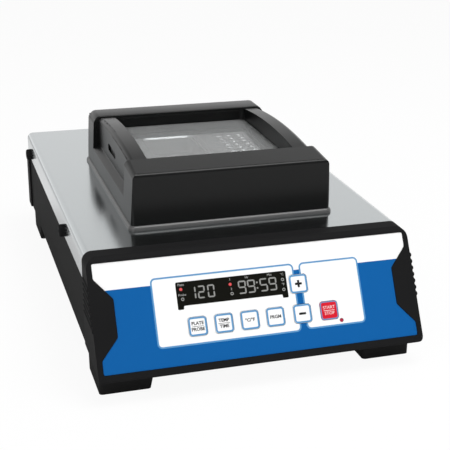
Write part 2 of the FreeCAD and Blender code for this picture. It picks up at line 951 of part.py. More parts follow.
def well_liner():
    """Thin steel wall round the blocks, standing on the heater plate."""
    z1 = block_bottom + liner_height
    outer = plan_prism(-liner_half, liner_half, well_y0 - liner_sheet, well_y1 + liner_sheet,
                       block_corner + liner_sheet, block_bottom, z1)
    inner = plan_prism(-well_half, well_half, well_y0, well_y1, block_corner, block_bottom, z1)
    return outer.cut(inner)


def dish_block():
    """Aluminium block with one rounded pocket for a shallow bath or small rack."""
    x0 = -block_width / 2
    body = plan_prism(x0, dish_block_x1, block_y0, block_y1, block_corner, block_bottom, block_top)
    px0 = x0 + dish_left
    py1 = block_y1 - dish_rear_wall
    pocket = plan_prism(px0, px0 + dish_width, py1 - dish_length, py1, dish_corner,
                        block_top - dish_depth, block_top)
    return cut(body, [pocket])


def tube_places():
    """Centre of each tube well."""
    x1 = block_width / 2 - tube_side_wall
    y1 = block_y1 - tube_rear_wall
    return [(x1 - i * tube_pitch, y1 - j * tube_pitch)
            for i in range(tube_columns) for j in range(tube_rows)]


def tube_block():
    """Aluminium block with a grid of wells for small tubes."""
    x1 = block_width / 2
    body = plan_prism(tube_block_x0, x1, block_y0, block_y1, block_corner, block_bottom, block_top)
    wells = [cylinder(tube_bore / 2, tube_depth, V(x, y, block_top - tube_depth), Z_AXIS)
             for x, y in tube_places()]
    return body.cut(wells)


def well_collar():
    """Moulded collar on the steel cover: bead under the hood, rim round the well, tongue in the cut-out."""
    half = hood_half_width + collar_margin
    y0 = hood_y0 - collar_margin
    y1 = hood_y1 + collar_margin
    plate = plan_prism(-half, half, y0, y1, collar_corner, cover_top, collar_top)
    plate = plate.makeFillet(collar_bead, edges_at(plate, collar_top))
    rim_half = collar_inner + collar_rim_wall
    rim = plan_prism(-rim_half, rim_half, collar_y0 - collar_rim_wall, collar_y1 + collar_rim_wall, 4,
                     cover_top, collar_top + collar_rim_height)
    tongue_half = collar_inner + collar_tongue_wall
    tongue_y0 = collar_y0 - collar_tongue_wall
    tongue_y1 = collar_y1 + collar_tongue_wall
    tongue = plan_prism(-tongue_half, tongue_half, tongue_y0, tongue_y1, collar_opening_corner,
                        cover_top - collar_tongue, cover_top)
    opening = plan_prism(-collar_inner, collar_inner, collar_y0, collar_y1, collar_opening_corner,
                         cover_top - collar_tongue, collar_top + collar_rim_height)
    return cut(fuse([plate, rim, tongue]), [opening])


# Hood

def hood_side_profile():
    """Face of the hood's brow and arched rails seen from the side."""
    z = cover_top
    y0 = hood_y0
    r = hood_brow_radius
    bevel = 1 - math.cos(math.pi / 4)
    brow_start = V(0, y0 + r, z + hood_front_rise)
    front_corner = Part.Arc(V(0, y0, brow_start.z - r), V(0, y0 + r * bevel, brow_start.z - r * bevel),
                            brow_start).toShape()
    brow_end = V(0, brow_y, z + hood_brow_rise)
    rail_start = V(0, brow_y, rail_end_top)
    rail_stop = V(0, bar_y, rail_end_top)
    crown = V(0, (brow_y + bar_y) / 2, z + rail_crown_rise)
    rail = Part.Arc(rail_start, crown, rail_stop).toShape()
    edges = [
        Part.makeLine(V(0, y0, hood_bottom), V(0, y0, brow_start.z - r)),
        front_corner,
        Part.makeLine(brow_start, brow_end),
        Part.makeLine(brow_end, rail_start),
        rail,
        Part.makeLine(rail_stop, V(0, bar_y, hood_bottom)),
        Part.makeLine(V(0, bar_y, hood_bottom), V(0, y0, hood_bottom)),
    ]
    return Part.Face(Part.Wire(Part.__sortEdges__(edges)))


def hood_section(y0, y1, points, radii, rise=0.0):
    """Symmetric prism along Y from the points of its right half, climbing by the rise."""
    left = [(-x, z) for x, z in reversed(points)]
    outline = [V(x, y0, z) for x, z in points + left]
    return prism(outline, radii + list(reversed(radii)), V(0, y1 - y0, rise))


def hood_rails(side):
    """Arched rails with rounded outer edges, over the sloping ledge."""
    lean = hood_lean / (cover_top + hood_front_rise - hood_bottom)
    ledge_x = hood_half_width - lean * (cover_top + ledge_low_rise - hood_bottom)
    points = [(hood_half_width, hood_bottom), (ledge_x, cover_top + ledge_low_rise),
              (rail_half_width, cover_top + ledge_high_rise), (rail_half_width, hood_clear_top)]
    middle = hood_section(brow_y - join, bar_y + join, points, [0, 1.2, 1.2, 0])
    rails = middle.common(side).Solids[0]
    rail_edges = []
    for edge in rails.Edges:
        centre = edge.CenterOfMass
        long_edge = edge.BoundBox.YLength > (bar_y - brow_y) * 0.9
        if long_edge and centre.z > rail_end_top and abs(centre.x) > rail_half_width - 2:
            rail_edges.append(edge)
    return rails.makeFillet(rail_edge_radius, rail_edges)


def hood_brow(side):
    """Full width front block with a sloping top and rounded ends."""
    slope = (hood_brow_rise - hood_front_rise) / (hood_brow_length - hood_brow_radius)
    y0 = hood_y0 - 1
    start_top = cover_top + hood_front_rise - slope * (hood_brow_radius + 1)
    rise = slope * (brow_y - y0)
    points = [(hood_half_width, hood_bottom - rise), (hood_top_half_width, start_top)]
    return side.common(hood_section(y0, brow_y, points, [0, brow_end_radius], rise))


def hood_bar():
    """Full width rear bar, rounded along its top edges and at its ends."""
    reach = hood_half_width + 1
    along = side_prism([(bar_y, hood_bottom), (hood_y1, hood_bottom), (hood_y1, bar_top), (bar_y, bar_top)],
                       [0, 0, hood_bar_radius, bar_front_radius], -reach, reach)
    points = [(hood_half_width, hood_bottom), (hood_top_half_width, bar_top)]
    return along.common(hood_section(bar_y - 1, hood_y1 + 1, points, [0, bar_end_radius]))


def rail_root():
    """End of the right rail let into the rear bar, a little inside the rail's own section."""
    outer = rail_half_width - rail_root_inset
    high = rail_end_top - rail_root_inset
    low = high - 2 * rail_edge_radius
    outline = [(window_half_width, low), (outer, low), (outer, high), (window_half_width, high)]
    return front_prism(outline, [0, 0, rail_edge_radius, 0], bar_y - rail_root_inset,
                       bar_y + bar_front_radius)


def hood_outer():
    """Outer form: full width brow and bar, with narrower arched rails between them over a ledge."""
    reach = hood_half_width + 5
    side = hood_side_profile()
    side.translate(V(-reach, 0, 0))
    side = side.extrude(V(2 * reach, 0, 0))
    outline = plan_prism(-hood_half_width, hood_half_width, hood_y0, hood_y1, hood_corner,
                         hood_bottom, hood_clear_top)
    ends = hood_brow(side).common(outline).Solids + hood_bar().common(outline).Solids
    root = rail_root()
    return fuse([hood_rails(side)] + ends + [root, mirrored(root)])


def clip_places():
    """Side and middle of each clip that holds the window."""
    length = glass_y1 - glass_y0
    return [(side, glass_y0 + length * share) for side in (-1, 1) for share in clip_shares]


def clip_screw_places():
    return [(side * (glass_half + clip_screw_reach), y) for side, y in clip_places()]


def bumper_places():
    """Middle of the pad under each corner of the hood."""
    x = hood_half_width - hood_wall - bumper_radius
    inset = hood_corner + bumper_inset
    return [(side * x, y) for side in (-1, 1) for y in (hood_y0 + inset, hood_y1 - inset)]


def hood():
    """Moulded hood with its window opening, walls, probe hole and probe groove."""
    body = hood_outer()
    y0 = hood_y0 + hood_wall
    y1 = hood_y1 - hood_wall
    skirt_half = hood_half_width - hood_wall
    core_half = rail_wall_inner + hood_core_step
    skirt_top = cover_top + ledge_low_rise - hood_wall * 0.6
    low = hood_bottom - 1
    cavities = [
        box(-skirt_half, skirt_half, y0, y1, low, skirt_top),
        plan_prism(-rail_wall_inner, rail_wall_inner, y0, y1, hood_core_corner, low, glass_ceiling),
        plan_prism(-core_half, core_half, y0, glass_y0 - hood_core_gap, hood_core_corner, low,
                   cover_top + hood_front_rise - hood_wall),
        plan_prism(-core_half, core_half, glass_y1 + hood_core_gap, y1, hood_core_corner, low,
                   cover_top + hood_front_rise - hood_wall),
        plan_prism(-window_half_width, window_half_width, window_y0, window_y1, window_corner,
                   glass_ceiling - 1, hood_clear_top),
    ]
    probe_y = hood_y0 + hood_brow_length + probe_hole_place
    probe_z = cover_top + probe_hole_rise
    start_x = -rail_half_width - hood_wall
    hole = cylinder(probe_hole_radius, 3 * hood_wall, V(start_x, probe_y, probe_z), X_AXIS)
    half = probe_groove_width / 2
    groove = plan_prism(-half, half, -half, probe_groove_length, half * 0.95, 0,
                        hood_wall + probe_groove_depth)
    groove.rotate(V(0, 0, 0), Y_AXIS, 90)
    groove.translate(V(start_x, probe_y, probe_z))
    body = cut(body, cavities + [hole, groove])
    for x, y in clip_screw_places():
        body = body.cut(cylinder(clip_screw_radius, clip_screw_grip, V(x, y, glass_ceiling), Z_AXIS))
    bosses = []
    for x, y in bumper_places():
        z = hood_bottom + bumper_height
        height = glass_ceiling + overlap - z
        bosses.append(cylinder(bumper_radius + bumper_boss_wall, height, V(x, y, z), Z_AXIS))
    return fuse([body] + bosses)


def hood_window():
    """Tinted pane under the window opening."""
    return plan_prism(-glass_half, glass_half, glass_y0, glass_y1, window_corner, glass_bottom, glass_top)


def window_gasket():
    """Soft ring between the pane and the hood."""
    outer = plan_prism(-glass_half, glass_half, glass_y0, glass_y1, window_corner, glass_top, glass_ceiling)
    half = window_half_width + gasket_inset
    inner = plan_prism(-half, half, window_y0 - gasket_inset, window_y1 + gasket_inset,
                       window_corner, glass_top, glass_ceiling)
    return outer.cut(inner)


def window_clips():
    """Six bent clips that hold the pane up against its gasket."""
    clips = []
    low = glass_bottom - clip_sheet
    x0 = glass_half - clip_lip
    x1 = rail_wall_inner - clip_gap
    for side, y in clip_places():
        y0 = y - clip_width / 2
        y1 = y + clip_width / 2
        lip = box(x0, x1, y0, y1, low, glass_bottom)
        riser = box(glass_half + clip_gap, x1, y0, y1, low, glass_ceiling)
        start = V(glass_half + clip_screw_reach, y, low)
        bore = cylinder(clip_screw_radius + sheet_gap, glass_ceiling - low, start, Z_AXIS)
        clip = cut(fuse([lip, riser]), [bore])
        clips.append(clip if side > 0 else mirrored(clip))
    return group(clips)


def window_screws():
    screws = []
    low = glass_bottom - clip_sheet
    length = glass_ceiling - low + clip_screw_grip - 1
    for x, y in clip_screw_places():
        head = cylinder(clip_screw_head, clip_sheet, V(x, y, low - clip_sheet), Z_AXIS)
        shank = cylinder(clip_screw_radius, length, V(x, y, low), Z_AXIS)
        screws.append(fuse([head, shank]))
    return group(screws)


def hood_bumpers():
    """Small pads on the bosses in the hood's corners; the closed hood rests on them."""
    low = collar_top + bumper_gap
    height = hood_bottom + bumper_height - low
    return group([cylinder(bumper_radius, height, V(x, y, low), Z_AXIS) for x, y in bumper_places()])


# Hood hinge

def hinge_middles():
    return [-hinge_distance / 2, hinge_distance / 2]


def hinge_brackets():
    """Two brackets on the collar's rear edge, each with a pair of outer knuckles."""
    brackets = []
    third = hinge_width / 3
    for x in hinge_middles():
        x0 = x - hinge_width / 2
        plate = box(x0, x0 + hinge_width, hood_y1 + collar_margin + knuckle_gap, hinge_y + bracket_reach,
                    cover_top, cover_top + hinge_leaf)
        shapes = [plate]
        for start in (x0, x0 + 2 * third):
            knuckle = cylinder(knuckle_radius, third, V(start, hinge_y, hinge_z), X_AXIS)
            web = box(start, start + third, hinge_y, hinge_y + knuckle_radius, cover_top, hinge_z)
            shapes.append(knuckle)
            shapes.append(web)
        bore = cylinder(pin_radius + pin_fit, hinge_width, V(x0, hinge_y, hinge_z), X_AXIS)
        brackets.append(cut(fuse(shapes), [bore]))
    return group(brackets)


def hinge_leaves():
    """Two leaves on the back of the hood, each with one middle knuckle."""
    leaves = []
    third = hinge_width / 3
    for x in hinge_middles():
        x0 = x - hinge_width / 2
        half = third / 2 - knuckle_gap
        leaf = box(x0, x0 + hinge_width, hood_y1, hood_y1 + hinge_leaf,
                   hinge_z + knuckle_radius + leaf_clear, hinge_z + hinge_leaf_height)
        arm = box(x - half, x + half, hood_y1, hinge_y, hinge_z - leaf_arm_drop, hinge_z + leaf_arm_rise)
        knuckle = cylinder(knuckle_radius, 2 * half, V(x - half, hinge_y, hinge_z), X_AXIS)
        bore = cylinder(pin_radius + pin_fit, hinge_width, V(x0, hinge_y, hinge_z), X_AXIS)
        leaves.append(cut(fuse([leaf, arm, knuckle]), [bore]))
    return group(leaves)


def hinge_pins():
    """Steel pins, each held by its bracket and turning in its leaf."""
    pins = []
    for x in hinge_middles():
        x0 = x - hinge_width / 2
        pin = cylinder(pin_radius, hinge_width, V(x0, hinge_y, hinge_z), X_AXIS)
        head = cylinder(pin_head_radius, pin_head, V(x0 - pin_head, hinge_y, hinge_z), X_AXIS)
        pins.append(fuse([pin, head]))
    return group(pins)


# Rear end

def rear_guard():
    """Moulded frame round the lower rear of the body, open over the rear panel."""
    half = cover_half + guard_wall
    y0 = cover_rear - guard_overlap
    outer = plan_prism(-half, half, y0, rear, guard_corner, guard_low, guard_high)
    front_fill = box(-half, half, y0, y0 + guard_corner, guard_low, guard_high)
    outer = outer.fuse(front_fill).removeSplitter()
    room_half = cover_half + sheet_gap
    body_room = box(-room_half, room_half, y0 - 1, cover_rear + sheet_gap, 0, cover_top)
    window_half = cover_half - guard_window_margin
    window = front_prism([(-window_half, guard_low + guard_rim), (window_half, guard_low + guard_rim),
                          (window_half, guard_high - guard_rim), (-window_half, guard_high - guard_rim)],
                         guard_window_corner, y0, rear + 1)
    return cut(outer, [body_room, window])


def inlet_cutout(grow):
    half = inlet_body_width / 2 + grow
    low = inlet_height - inlet_body_height / 2 - grow
    high = inlet_height + inlet_body_height / 2 + grow
    return box(inlet_place - half, inlet_place + half, rear_panel_y - 1, rear_panel_y + cut_reach, low, high)


def switch_cutout(grow):
    half = switch_width / 2 - switch_flange / 2 + grow
    tall = switch_height / 2 - switch_flange / 2 + grow
    return box(switch_place - half, switch_place + half, rear_panel_y - 1, rear_panel_y + cut_reach,
               inlet_height - tall, inlet_height + tall)


def rear_panel():
    """Steel rear panel with vents and the openings for the inlet, switch and jack."""
    half = cover_inner - tray_sheet - sheet_gap * 3
    top = cover_top - cover_sheet - sheet_gap
    plate = front_prism([(-half, tray_floor), (half, tray_floor), (half, top), (-half, top)],
                        [tray_bend, tray_bend, cover_bend, cover_bend],
                        rear_panel_y, rear_panel_y + rear_panel_sheet)
    holes = [inlet_cutout(inlet_fit / 2), switch_cutout(inlet_fit / 2)]
    holes.append(cylinder(jack_radius + inlet_fit / 2, rear_panel_sheet,
                          V(jack_place, rear_panel_y, inlet_height), Y_AXIS))
    for i in range(vent_count):
        x = vent_centre + (i - (vent_count - 1) / 2) * vent_pitch
        z0 = inlet_height - vent_height / 2
        x0 = x - vent_width / 2
        x1 = x + vent_width / 2
        z1 = z0 + vent_height
        holes.append(front_prism([(x0, z0), (x1, z0), (x1, z1), (x0, z1)], vent_width * 0.48,
                                 rear_panel_y, rear_panel_y + rear_panel_sheet))
    return cut(plate, holes)


def power_inlet():
    """Fused mains inlet: flange, body, socket recess with three pins and a fuse slot."""
    y0 = rear_panel_y + rear_panel_sheet
    flange = front_prism([(inlet_place - inlet_width / 2, inlet_height - inlet_flange_height / 2),
                          (inlet_place + inlet_width / 2, inlet_height - inlet_flange_height / 2),
                          (inlet_place + inlet_width / 2, inlet_height + inlet_flange_height / 2),
                          (inlet_place - inlet_width / 2, inlet_height + inlet_flange_height / 2)],
                         inlet_flange_corner, y0, y0 + inlet_flange)
    half = inlet_body_width / 2
    tall = inlet_body_height / 2
    body = box(inlet_place - half, inlet_place + half, y0 - inlet_body_depth, y0, inlet_height - tall,
               inlet_height + tall)
    mouth = y0 + inlet_flange
    socket_low = inlet_height + tall - socket_wall - socket_height
    socket_high = socket_low + socket_height
    side = socket_width / 2
    socket = front_prism([(inlet_place - side, socket_low), (inlet_place + side, socket_low),
                          (inlet_place + side, socket_high), (inlet_place - side, socket_high)],
                         [socket_corner, socket_corner, socket_top_corner, socket_top_corner],
                         mouth - socket_depth, mouth + 1)
    fuse_low, fuse_high = fuse_span(fuse_gap)
    slot_half = fuse_width / 2 + fuse_gap
    slot = box(inlet_place - slot_half, inlet_place + slot_half, mouth - fuse_depth - fuse_gap, mouth + 1,
               fuse_low, fuse_high)
    shell = cut(fuse([flange, body]), [socket, slot])
    middle = (socket_low + socket_high) / 2
    pins = []
    for dx, dz in contact_places:
        pins.append(box(inlet_place + dx - contact_half, inlet_place + dx + contact_half,
                        mouth - socket_depth - overlap, mouth - socket_depth + pin_length,
                        middle + dz - 2 * contact_half, middle + dz + 2 * contact_half))
    return fuse([shell] + pins)


def fuse_span(grow):
    """Lowest and highest level of the fuse drawer."""
    low = inlet_height - inlet_body_height / 2 + socket_wall
    return low - grow, low + fuse_height + grow


def fuse_drawer():
    """Small drawer that holds the fuse below the socket, with a finger lip."""
    mouth = rear_panel_y + rear_panel_sheet + inlet_flange
    low, high = fuse_span(0)
    half = fuse_width / 2
    tray = box(inlet_place - half, inlet_place + half, mouth - fuse_depth, mouth + fuse_face, low, high)
    room_half = half - fuse_wall
    room = box(inlet_place - room_half, inlet_place + room_half,
               mouth - fuse_depth + fuse_wall, mouth - fuse_wall, low + fuse_wall, high + 1)
    lip = box(inlet_place - fuse_lip_half, inlet_place + fuse_lip_half,
              mouth + fuse_face, mouth + 2 * fuse_face, high - fuse_lip, high)
    return fuse([cut(tray, [room]), lip])


def fuse_link():
    """Glass fuse lying in the drawer."""
    mouth = rear_panel_y + rear_panel_sheet + inlet_flange
    low, high = fuse_span(0)
    y = mouth - fuse_depth / 2
    length = fuse_width - 2 * fuse_wall - fuse_gap
    start = V(inlet_place - length / 2, y, low + fuse_wall + fuse_radius)
    return cylinder(fuse_radius, length, start, X_AXIS)


def power_switch():
    """Housing of the rocker switch, with bearings for the rocker's pin."""
    y0 = rear_panel_y + rear_panel_sheet
    half = switch_width / 2
    tall = switch_height / 2
    flange = box(switch_place - half, switch_place + half, y0, y0 + switch_flange, inlet_height - tall,
                 inlet_height + tall)
    inner_half = half - switch_flange / 2
    inner_tall = tall - switch_flange / 2
    body = box(switch_place - inner_half, switch_place + inner_half, y0 - switch_depth, y0,
               inlet_height - inner_tall, inlet_height + inner_tall)
    room_half = half - switch_flange
    room_tall = tall - switch_flange
    room = box(switch_place - room_half, switch_place + room_half, y0 - switch_depth + switch_flange,
               y0 + switch_flange + 1, inlet_height - room_tall, inlet_height + room_tall)
    length = rocker_pin_length + 2 * pin_fit
    start = V(switch_place - length / 2, rocker_axis_y(), inlet_height)
    bearing = cylinder(rocker_pin_radius + pin_fit, length, start, X_AXIS)
    return cut(fuse([flange, body]), [room, bearing])


def rocker_axis_y():
    return rear_panel_y + rear_panel_sheet - rocker_axis_depth


def switch_rocker():
    """Two sided rocker on its pin, shown level in its middle position."""
    axis_y = rocker_axis_y()
    half = switch_width / 2 - switch_flange - rocker_gap
    tall = switch_height / 2 - switch_flange - rocker_end_gap
    face = rear_panel_y + rear_panel_sheet + switch_flange + rocker_proud
    root = rocker_root
    z = inlet_height
    points = [(axis_y - root, z - 2 * root), (axis_y - root, z + 2 * root), (axis_y + root, z + tall),
              (face, z + tall), (face - rocker_dip, z), (face, z - tall), (axis_y + root, z - tall)]
    body = side_prism(points, [0.5, 0.5, 0.5, 0.8, 6.0, 0.8, 0.5], switch_place - half, switch_place + half)
    length = rocker_pin_length
    pin = cylinder(rocker_pin_radius, length, V(switch_place - length / 2, axis_y, inlet_height), X_AXIS)
    return fuse([body, pin])


def probe_jack():
    """Threaded socket for the external probe, with its ring nut outside."""
    y0 = rear_panel_y + rear_panel_sheet
    mouth = y0 + jack_nut + jack_end
    z = inlet_height
    barrel = cylinder(jack_radius, jack_depth + mouth - y0, V(jack_place, y0 - jack_depth, z), Y_AXIS)
    nut = cylinder(jack_nut_radius, jack_nut, V(jack_place, y0, z), Y_AXIS)
    back = V(jack_place, rear_panel_y - jack_shoulder, z)
    shoulder = cylinder(jack_nut_radius, jack_shoulder, back, Y_AXIS)
    bore = cylinder(jack_bore, jack_bore_depth, V(jack_place, mouth - jack_bore_depth, z), Y_AXIS)
    return cut(fuse([barrel, nut, shoulder]), [bore])


# Electronics in the base

def power_board_span():
    y1 = rear_panel_y - power_board_setback
    x0 = power_board_place - power_board_width / 2
    return x0, x0 + power_board_width, y1 - power_board_length, y1


def standoff_places():
    x0, x1, y0, y1 = power_board_span()
    inset = standoff_inset
    return [(x, y) for x in (x0 + inset, x1 - inset) for y in (y0 + inset, y1 - inset)]


def board_standoffs():
    """Hexagonal posts under the power board."""
    posts = []
    for x, y in standoff_places():
        corners = [V(x + standoff_radius * math.cos(math.radians(60 * i)),
                     y + standoff_radius * math.sin(math.radians(60 * i)), tray_floor) for i in range(6)]
        posts.append(prism(corners, 0, V(0, 0, standoff_height)))
    return group(posts)


def power_board():
    """Mains and heater driver board with its larger parts."""
    x0, x1, y0, y1 = power_board_span()
    z = tray_floor + standoff_height
    board = box(x0, x1, y0, y1, z, z + board_thickness)
    top = z + board_thickness
    can_middle = V(x0 + 2 * capacitor_radius, y0 + 2 * capacitor_radius, top)
    shapes = [board, cylinder(capacitor_radius, capacitor_height, can_middle, Z_AXIS)]
    for dx, dy, width, length, height in power_parts:
        shapes.append(box(x0 + dx, x0 + dx + width, y0 + dy, y0 + dy + length, top, top + height))
    return fuse(shapes)


def driver_heatsink():
    """Finned aluminium sink of the heater driver, on the power board."""
    x0, x1, y0, y1 = power_board_span()
    z = tray_floor + standoff_height + board_thickness
    left = x0 + 2 * standoff_inset
    low = y1 - 2 * heatsink_depth
    base = box(left, left + heatsink_length, low, low + heatsink_base, z, z + heatsink_height)
    fins = []
    step = (heatsink_length - heatsink_fin) / (heatsink_fins - 1)
    for i in range(heatsink_fins):
        x = left + i * step
        fins.append(box(x, x + heatsink_fin, low + heatsink_base, low + heatsink_depth,
                        z, z + heatsink_height))
    return fuse([base] + fins)


def transformer():
    """Small laminated transformer for the control circuit."""
    size = transformer_size
    x0 = transformer_left
    y0 = cover_front + transformer_setback
    z = tray_floor
    core = box(x0, x0 + size, y0 + size * 0.2, y0 + size * 0.8, z, z + size * 0.8)
    coil = plan_prism(x0 + size * 0.2, x0 + size * 0.8, y0, y0 + size, 6, z + size * 0.12, z + size * 0.68)
    return fuse([core, coil])


def build_parts():
    """Every node of the instrument by name."""
    parts = {
        "base_tray": base_tray(),
        "top_cover": top_cover(),
        "cover_screws": cover_screws(),
        "front_bezel": front_bezel(),
        "panel_overlay": panel_overlay(),
        "display_window": display_window(),
        "display_module": display_module(),
        "control_board": control_board(),
        "board_screws": board_screws(),
        "key_switches": key_switches(),
        "status_led": status_led(),
        "foot_screws": foot_screws(),
        "heater_plate": heater_plate(),
        "cartridge_heaters": cartridge_heaters(),
        "temperature_sensor": temperature_sensor(),
        "insulation_pad": insulation_pad(),
        "thermal_cutout": thermal_cutout(),
        "support_posts": support_posts(),
        "well_liner": well_liner(),
        "dish_block": dish_block(),
        "tube_block": tube_block(),
        "well_collar": well_collar(),
        "hood": hood(),
        "hood_window": hood_window(),
        "window_gasket": window_gasket(),
        "window_clips": window_clips(),
        "window_screws": window_screws(),
        "hood_bumpers": hood_bumpers(),
        "hinge_brackets": hinge_brackets(),
        "hinge_leaves": hinge_leaves(),
        "hinge_pins": hinge_pins(),
        "rear_guard": rear_guard(),
        "rear_panel": rear_panel(),
        "power_inlet": power_inlet(),
        "fuse_drawer": fuse_drawer(),
        "fuse_link": fuse_link(),
        "power_switch": power_switch(),
        "switch_rocker": switch_rocker(),
        "probe_jack": probe_jack(),
        "board_standoffs": board_standoffs(),
        "power_board": power_board(),
        "driver_heatsink": driver_heatsink(),
        "transformer": transformer(),
    }
    for name, (side, y) in foot_places().items():
        parts[name] = foot(side, y)
    for name, place in key_places().items():
        parts[name] = key(place)
    return parts


os.makedirs("parts", exist_ok=True)
for name, shape in build_parts().items():
    shape.exportStep("parts/" + name + ".step")
    print(name, len(shape.Solids), "solids", round(shape.Volume), shape.isValid())
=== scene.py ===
import math
import bpy
from mathutils import Matrix, Vector


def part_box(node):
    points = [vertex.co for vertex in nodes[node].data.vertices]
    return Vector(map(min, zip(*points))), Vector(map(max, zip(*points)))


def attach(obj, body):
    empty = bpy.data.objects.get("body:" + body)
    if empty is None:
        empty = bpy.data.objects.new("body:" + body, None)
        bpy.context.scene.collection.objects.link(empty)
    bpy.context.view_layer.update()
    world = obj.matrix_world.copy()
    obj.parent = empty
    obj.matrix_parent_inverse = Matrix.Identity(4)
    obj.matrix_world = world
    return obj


# Looks of a dry bath incubator. Metres, in the part's own frame: +X right, +Y back, +Z up.
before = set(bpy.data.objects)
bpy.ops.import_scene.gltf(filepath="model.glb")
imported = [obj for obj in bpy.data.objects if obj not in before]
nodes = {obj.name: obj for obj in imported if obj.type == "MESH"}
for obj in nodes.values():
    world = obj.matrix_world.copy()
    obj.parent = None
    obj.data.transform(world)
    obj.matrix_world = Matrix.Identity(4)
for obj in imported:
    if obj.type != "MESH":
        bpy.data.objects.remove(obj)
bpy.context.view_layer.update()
print("frame loaded,", len(nodes), "nodes")


# Camera at the photo's angle
cameraValues = {
    "place": (-0.2227, -0.8282, 0.3715),
    "turn": -16.673,           # degrees; below zero it looks to the right of straight back
    "pitch": -20.453,
    "roll": 0.456,
    "lens": 85.41,
    "sensor": 36,
    "nearest": 0.01,
}


def addCamera(v):
    turn = math.radians(v["turn"])
    pitch = math.radians(v["pitch"])
    roll = math.radians(v["roll"])
    ahead = Vector((-math.sin(turn) * math.cos(pitch), math.cos(turn) * math.cos(pitch), math.sin(pitch)))
    right = ahead.cross(Vector((0, 0, 1))).normalized()
    up = right.cross(ahead)
    across = right * math.cos(roll) + up * math.sin(roll)
    upright = up * math.cos(roll) - right * math.sin(roll)
    camera = bpy.data.objects.new("camera", bpy.data.cameras.new("camera"))
    bpy.context.scene.collection.objects.link(camera)
    camera.data.lens = v["lens"]
    camera.data.sensor_width = v["sensor"]
    camera.data.clip_start = v["nearest"]
    axes = Matrix((across, upright, -ahead)).transposed().to_4x4()
    camera.matrix_world = Matrix.Translation(Vector(v["place"])) @ axes
    bpy.context.scene.camera = camera


addCamera(cameraValues)
print("camera placed")


# Light, floor and surroundings
lightValues = {
    "worldDiffuse": 0.44,
    "glossRim": 1.15,          # what gloss sees at the horizon
    "glossLow": 0.92,          # what gloss sees above it
    "glossHigh": 0.25,         # what gloss sees higher up
    "glossFront": 0.40,        # the share of that in front of the object
    "frontStart": -0.3,
    "frontEnd": 0.4,
    "rimStart": 0.05,
    "rimEnd": 0.20,
    "highStart": 0.36,
    "highEnd": 0.56,
    "floorSize": 16,
    "floorColour": (0.86, 0.86, 0.86),
    "floorGlow": 0.93,         # the share of plain white that the camera sees
    "floorShine": 0.10,        # the share that gloss sees
    "lamps": [
        # name, place, size, power
        ("lampTop", (0.30, -0.32, 1.35), 0.9, 15.5),
        ("lampLeft", (-1.3, -1.3, 1.0), 1.0, 6.5),
    ],
}


def addLamps(v):
    target = Vector((0, 0, 0.08))
    for name, place, size, power in v["lamps"]:
        lamp = bpy.data.objects.new(name, bpy.data.lights.new(name, "AREA"))
        lamp.data.energy = power
        lamp.data.size = size
        lamp.location = place
        lamp.rotation_euler = (target - Vector(place)).to_track_quat("-Z", "Y").to_euler()
        bpy.context.scene.collection.objects.link(lamp)


def addRange(tree, value, low, high, start, end):
    rise = tree.nodes.new("ShaderNodeMapRange")
    rise.interpolation_type = "SMOOTHSTEP"
    rise.inputs["From Min"].default_value = low
    rise.inputs["From Max"].default_value = high
    rise.inputs["To Min"].default_value = start
    rise.inputs["To Max"].default_value = end
    tree.links.new(value, rise.inputs["Value"])
    return rise


def addWorld(v):
    world = bpy.data.worlds.new("surroundings")
    bpy.context.scene.world = world
    world.use_nodes = True
    tree = world.node_tree
    tree.nodes.clear()
    output = tree.nodes.new("ShaderNodeOutputWorld")
    rays = tree.nodes.new("ShaderNodeLightPath")
    seen = tree.nodes.new("ShaderNodeBackground")
    seen.inputs["Color"].default_value = (1, 1, 1, 1)
    soft = tree.nodes.new("ShaderNodeBackground")
    soft.inputs["Color"].default_value = (1, 1, 1, 1)
    soft.inputs["Strength"].default_value = v["worldDiffuse"]
    gloss = tree.nodes.new("ShaderNodeBackground")
    gloss.inputs["Color"].default_value = (1, 1, 1, 1)
    place = tree.nodes.new("ShaderNodeTexCoord")
    apart = tree.nodes.new("ShaderNodeSeparateXYZ")
    tree.links.new(place.outputs["Generated"], apart.inputs[0])
    height = addRange(tree, apart.outputs["Z"], v["highStart"], v["highEnd"], v["glossLow"], v["glossHigh"])
    rim = addRange(tree, apart.outputs["Z"], v["rimStart"], v["rimEnd"], v["glossRim"], v["glossLow"])
    tree.links.new(rim.outputs["Result"], height.inputs["To Min"])
    around = addRange(tree, apart.outputs["Y"], v["frontStart"], v["frontEnd"], v["glossFront"], 1.0)
    both = tree.nodes.new("ShaderNodeMath")
    both.operation = "MULTIPLY"
    tree.links.new(height.outputs["Result"], both.inputs[0])
    tree.links.new(around.outputs["Result"], both.inputs[1])
    tree.links.new(both.outputs[0], gloss.inputs["Strength"])
    first = tree.nodes.new("ShaderNodeMixShader")
    tree.links.new(rays.outputs["Is Glossy Ray"], first.inputs[0])
    tree.links.new(soft.outputs[0], first.inputs[1])
    tree.links.new(gloss.outputs[0], first.inputs[2])
    clear = tree.nodes.new("ShaderNodeMath")
    clear.operation = "MAXIMUM"
    tree.links.new(rays.outputs["Is Camera Ray"], clear.inputs[0])
    tree.links.new(rays.outputs["Is Transmission Ray"], clear.inputs[1])
    last = tree.nodes.new("ShaderNodeMixShader")
    tree.links.new(clear.outputs[0], last.inputs[0])
    tree.links.new(first.outputs[0], last.inputs[1])
    tree.links.new(seen.outputs[0], last.inputs[2])
    tree.links.new(last.outputs[0], output.inputs["Surface"])


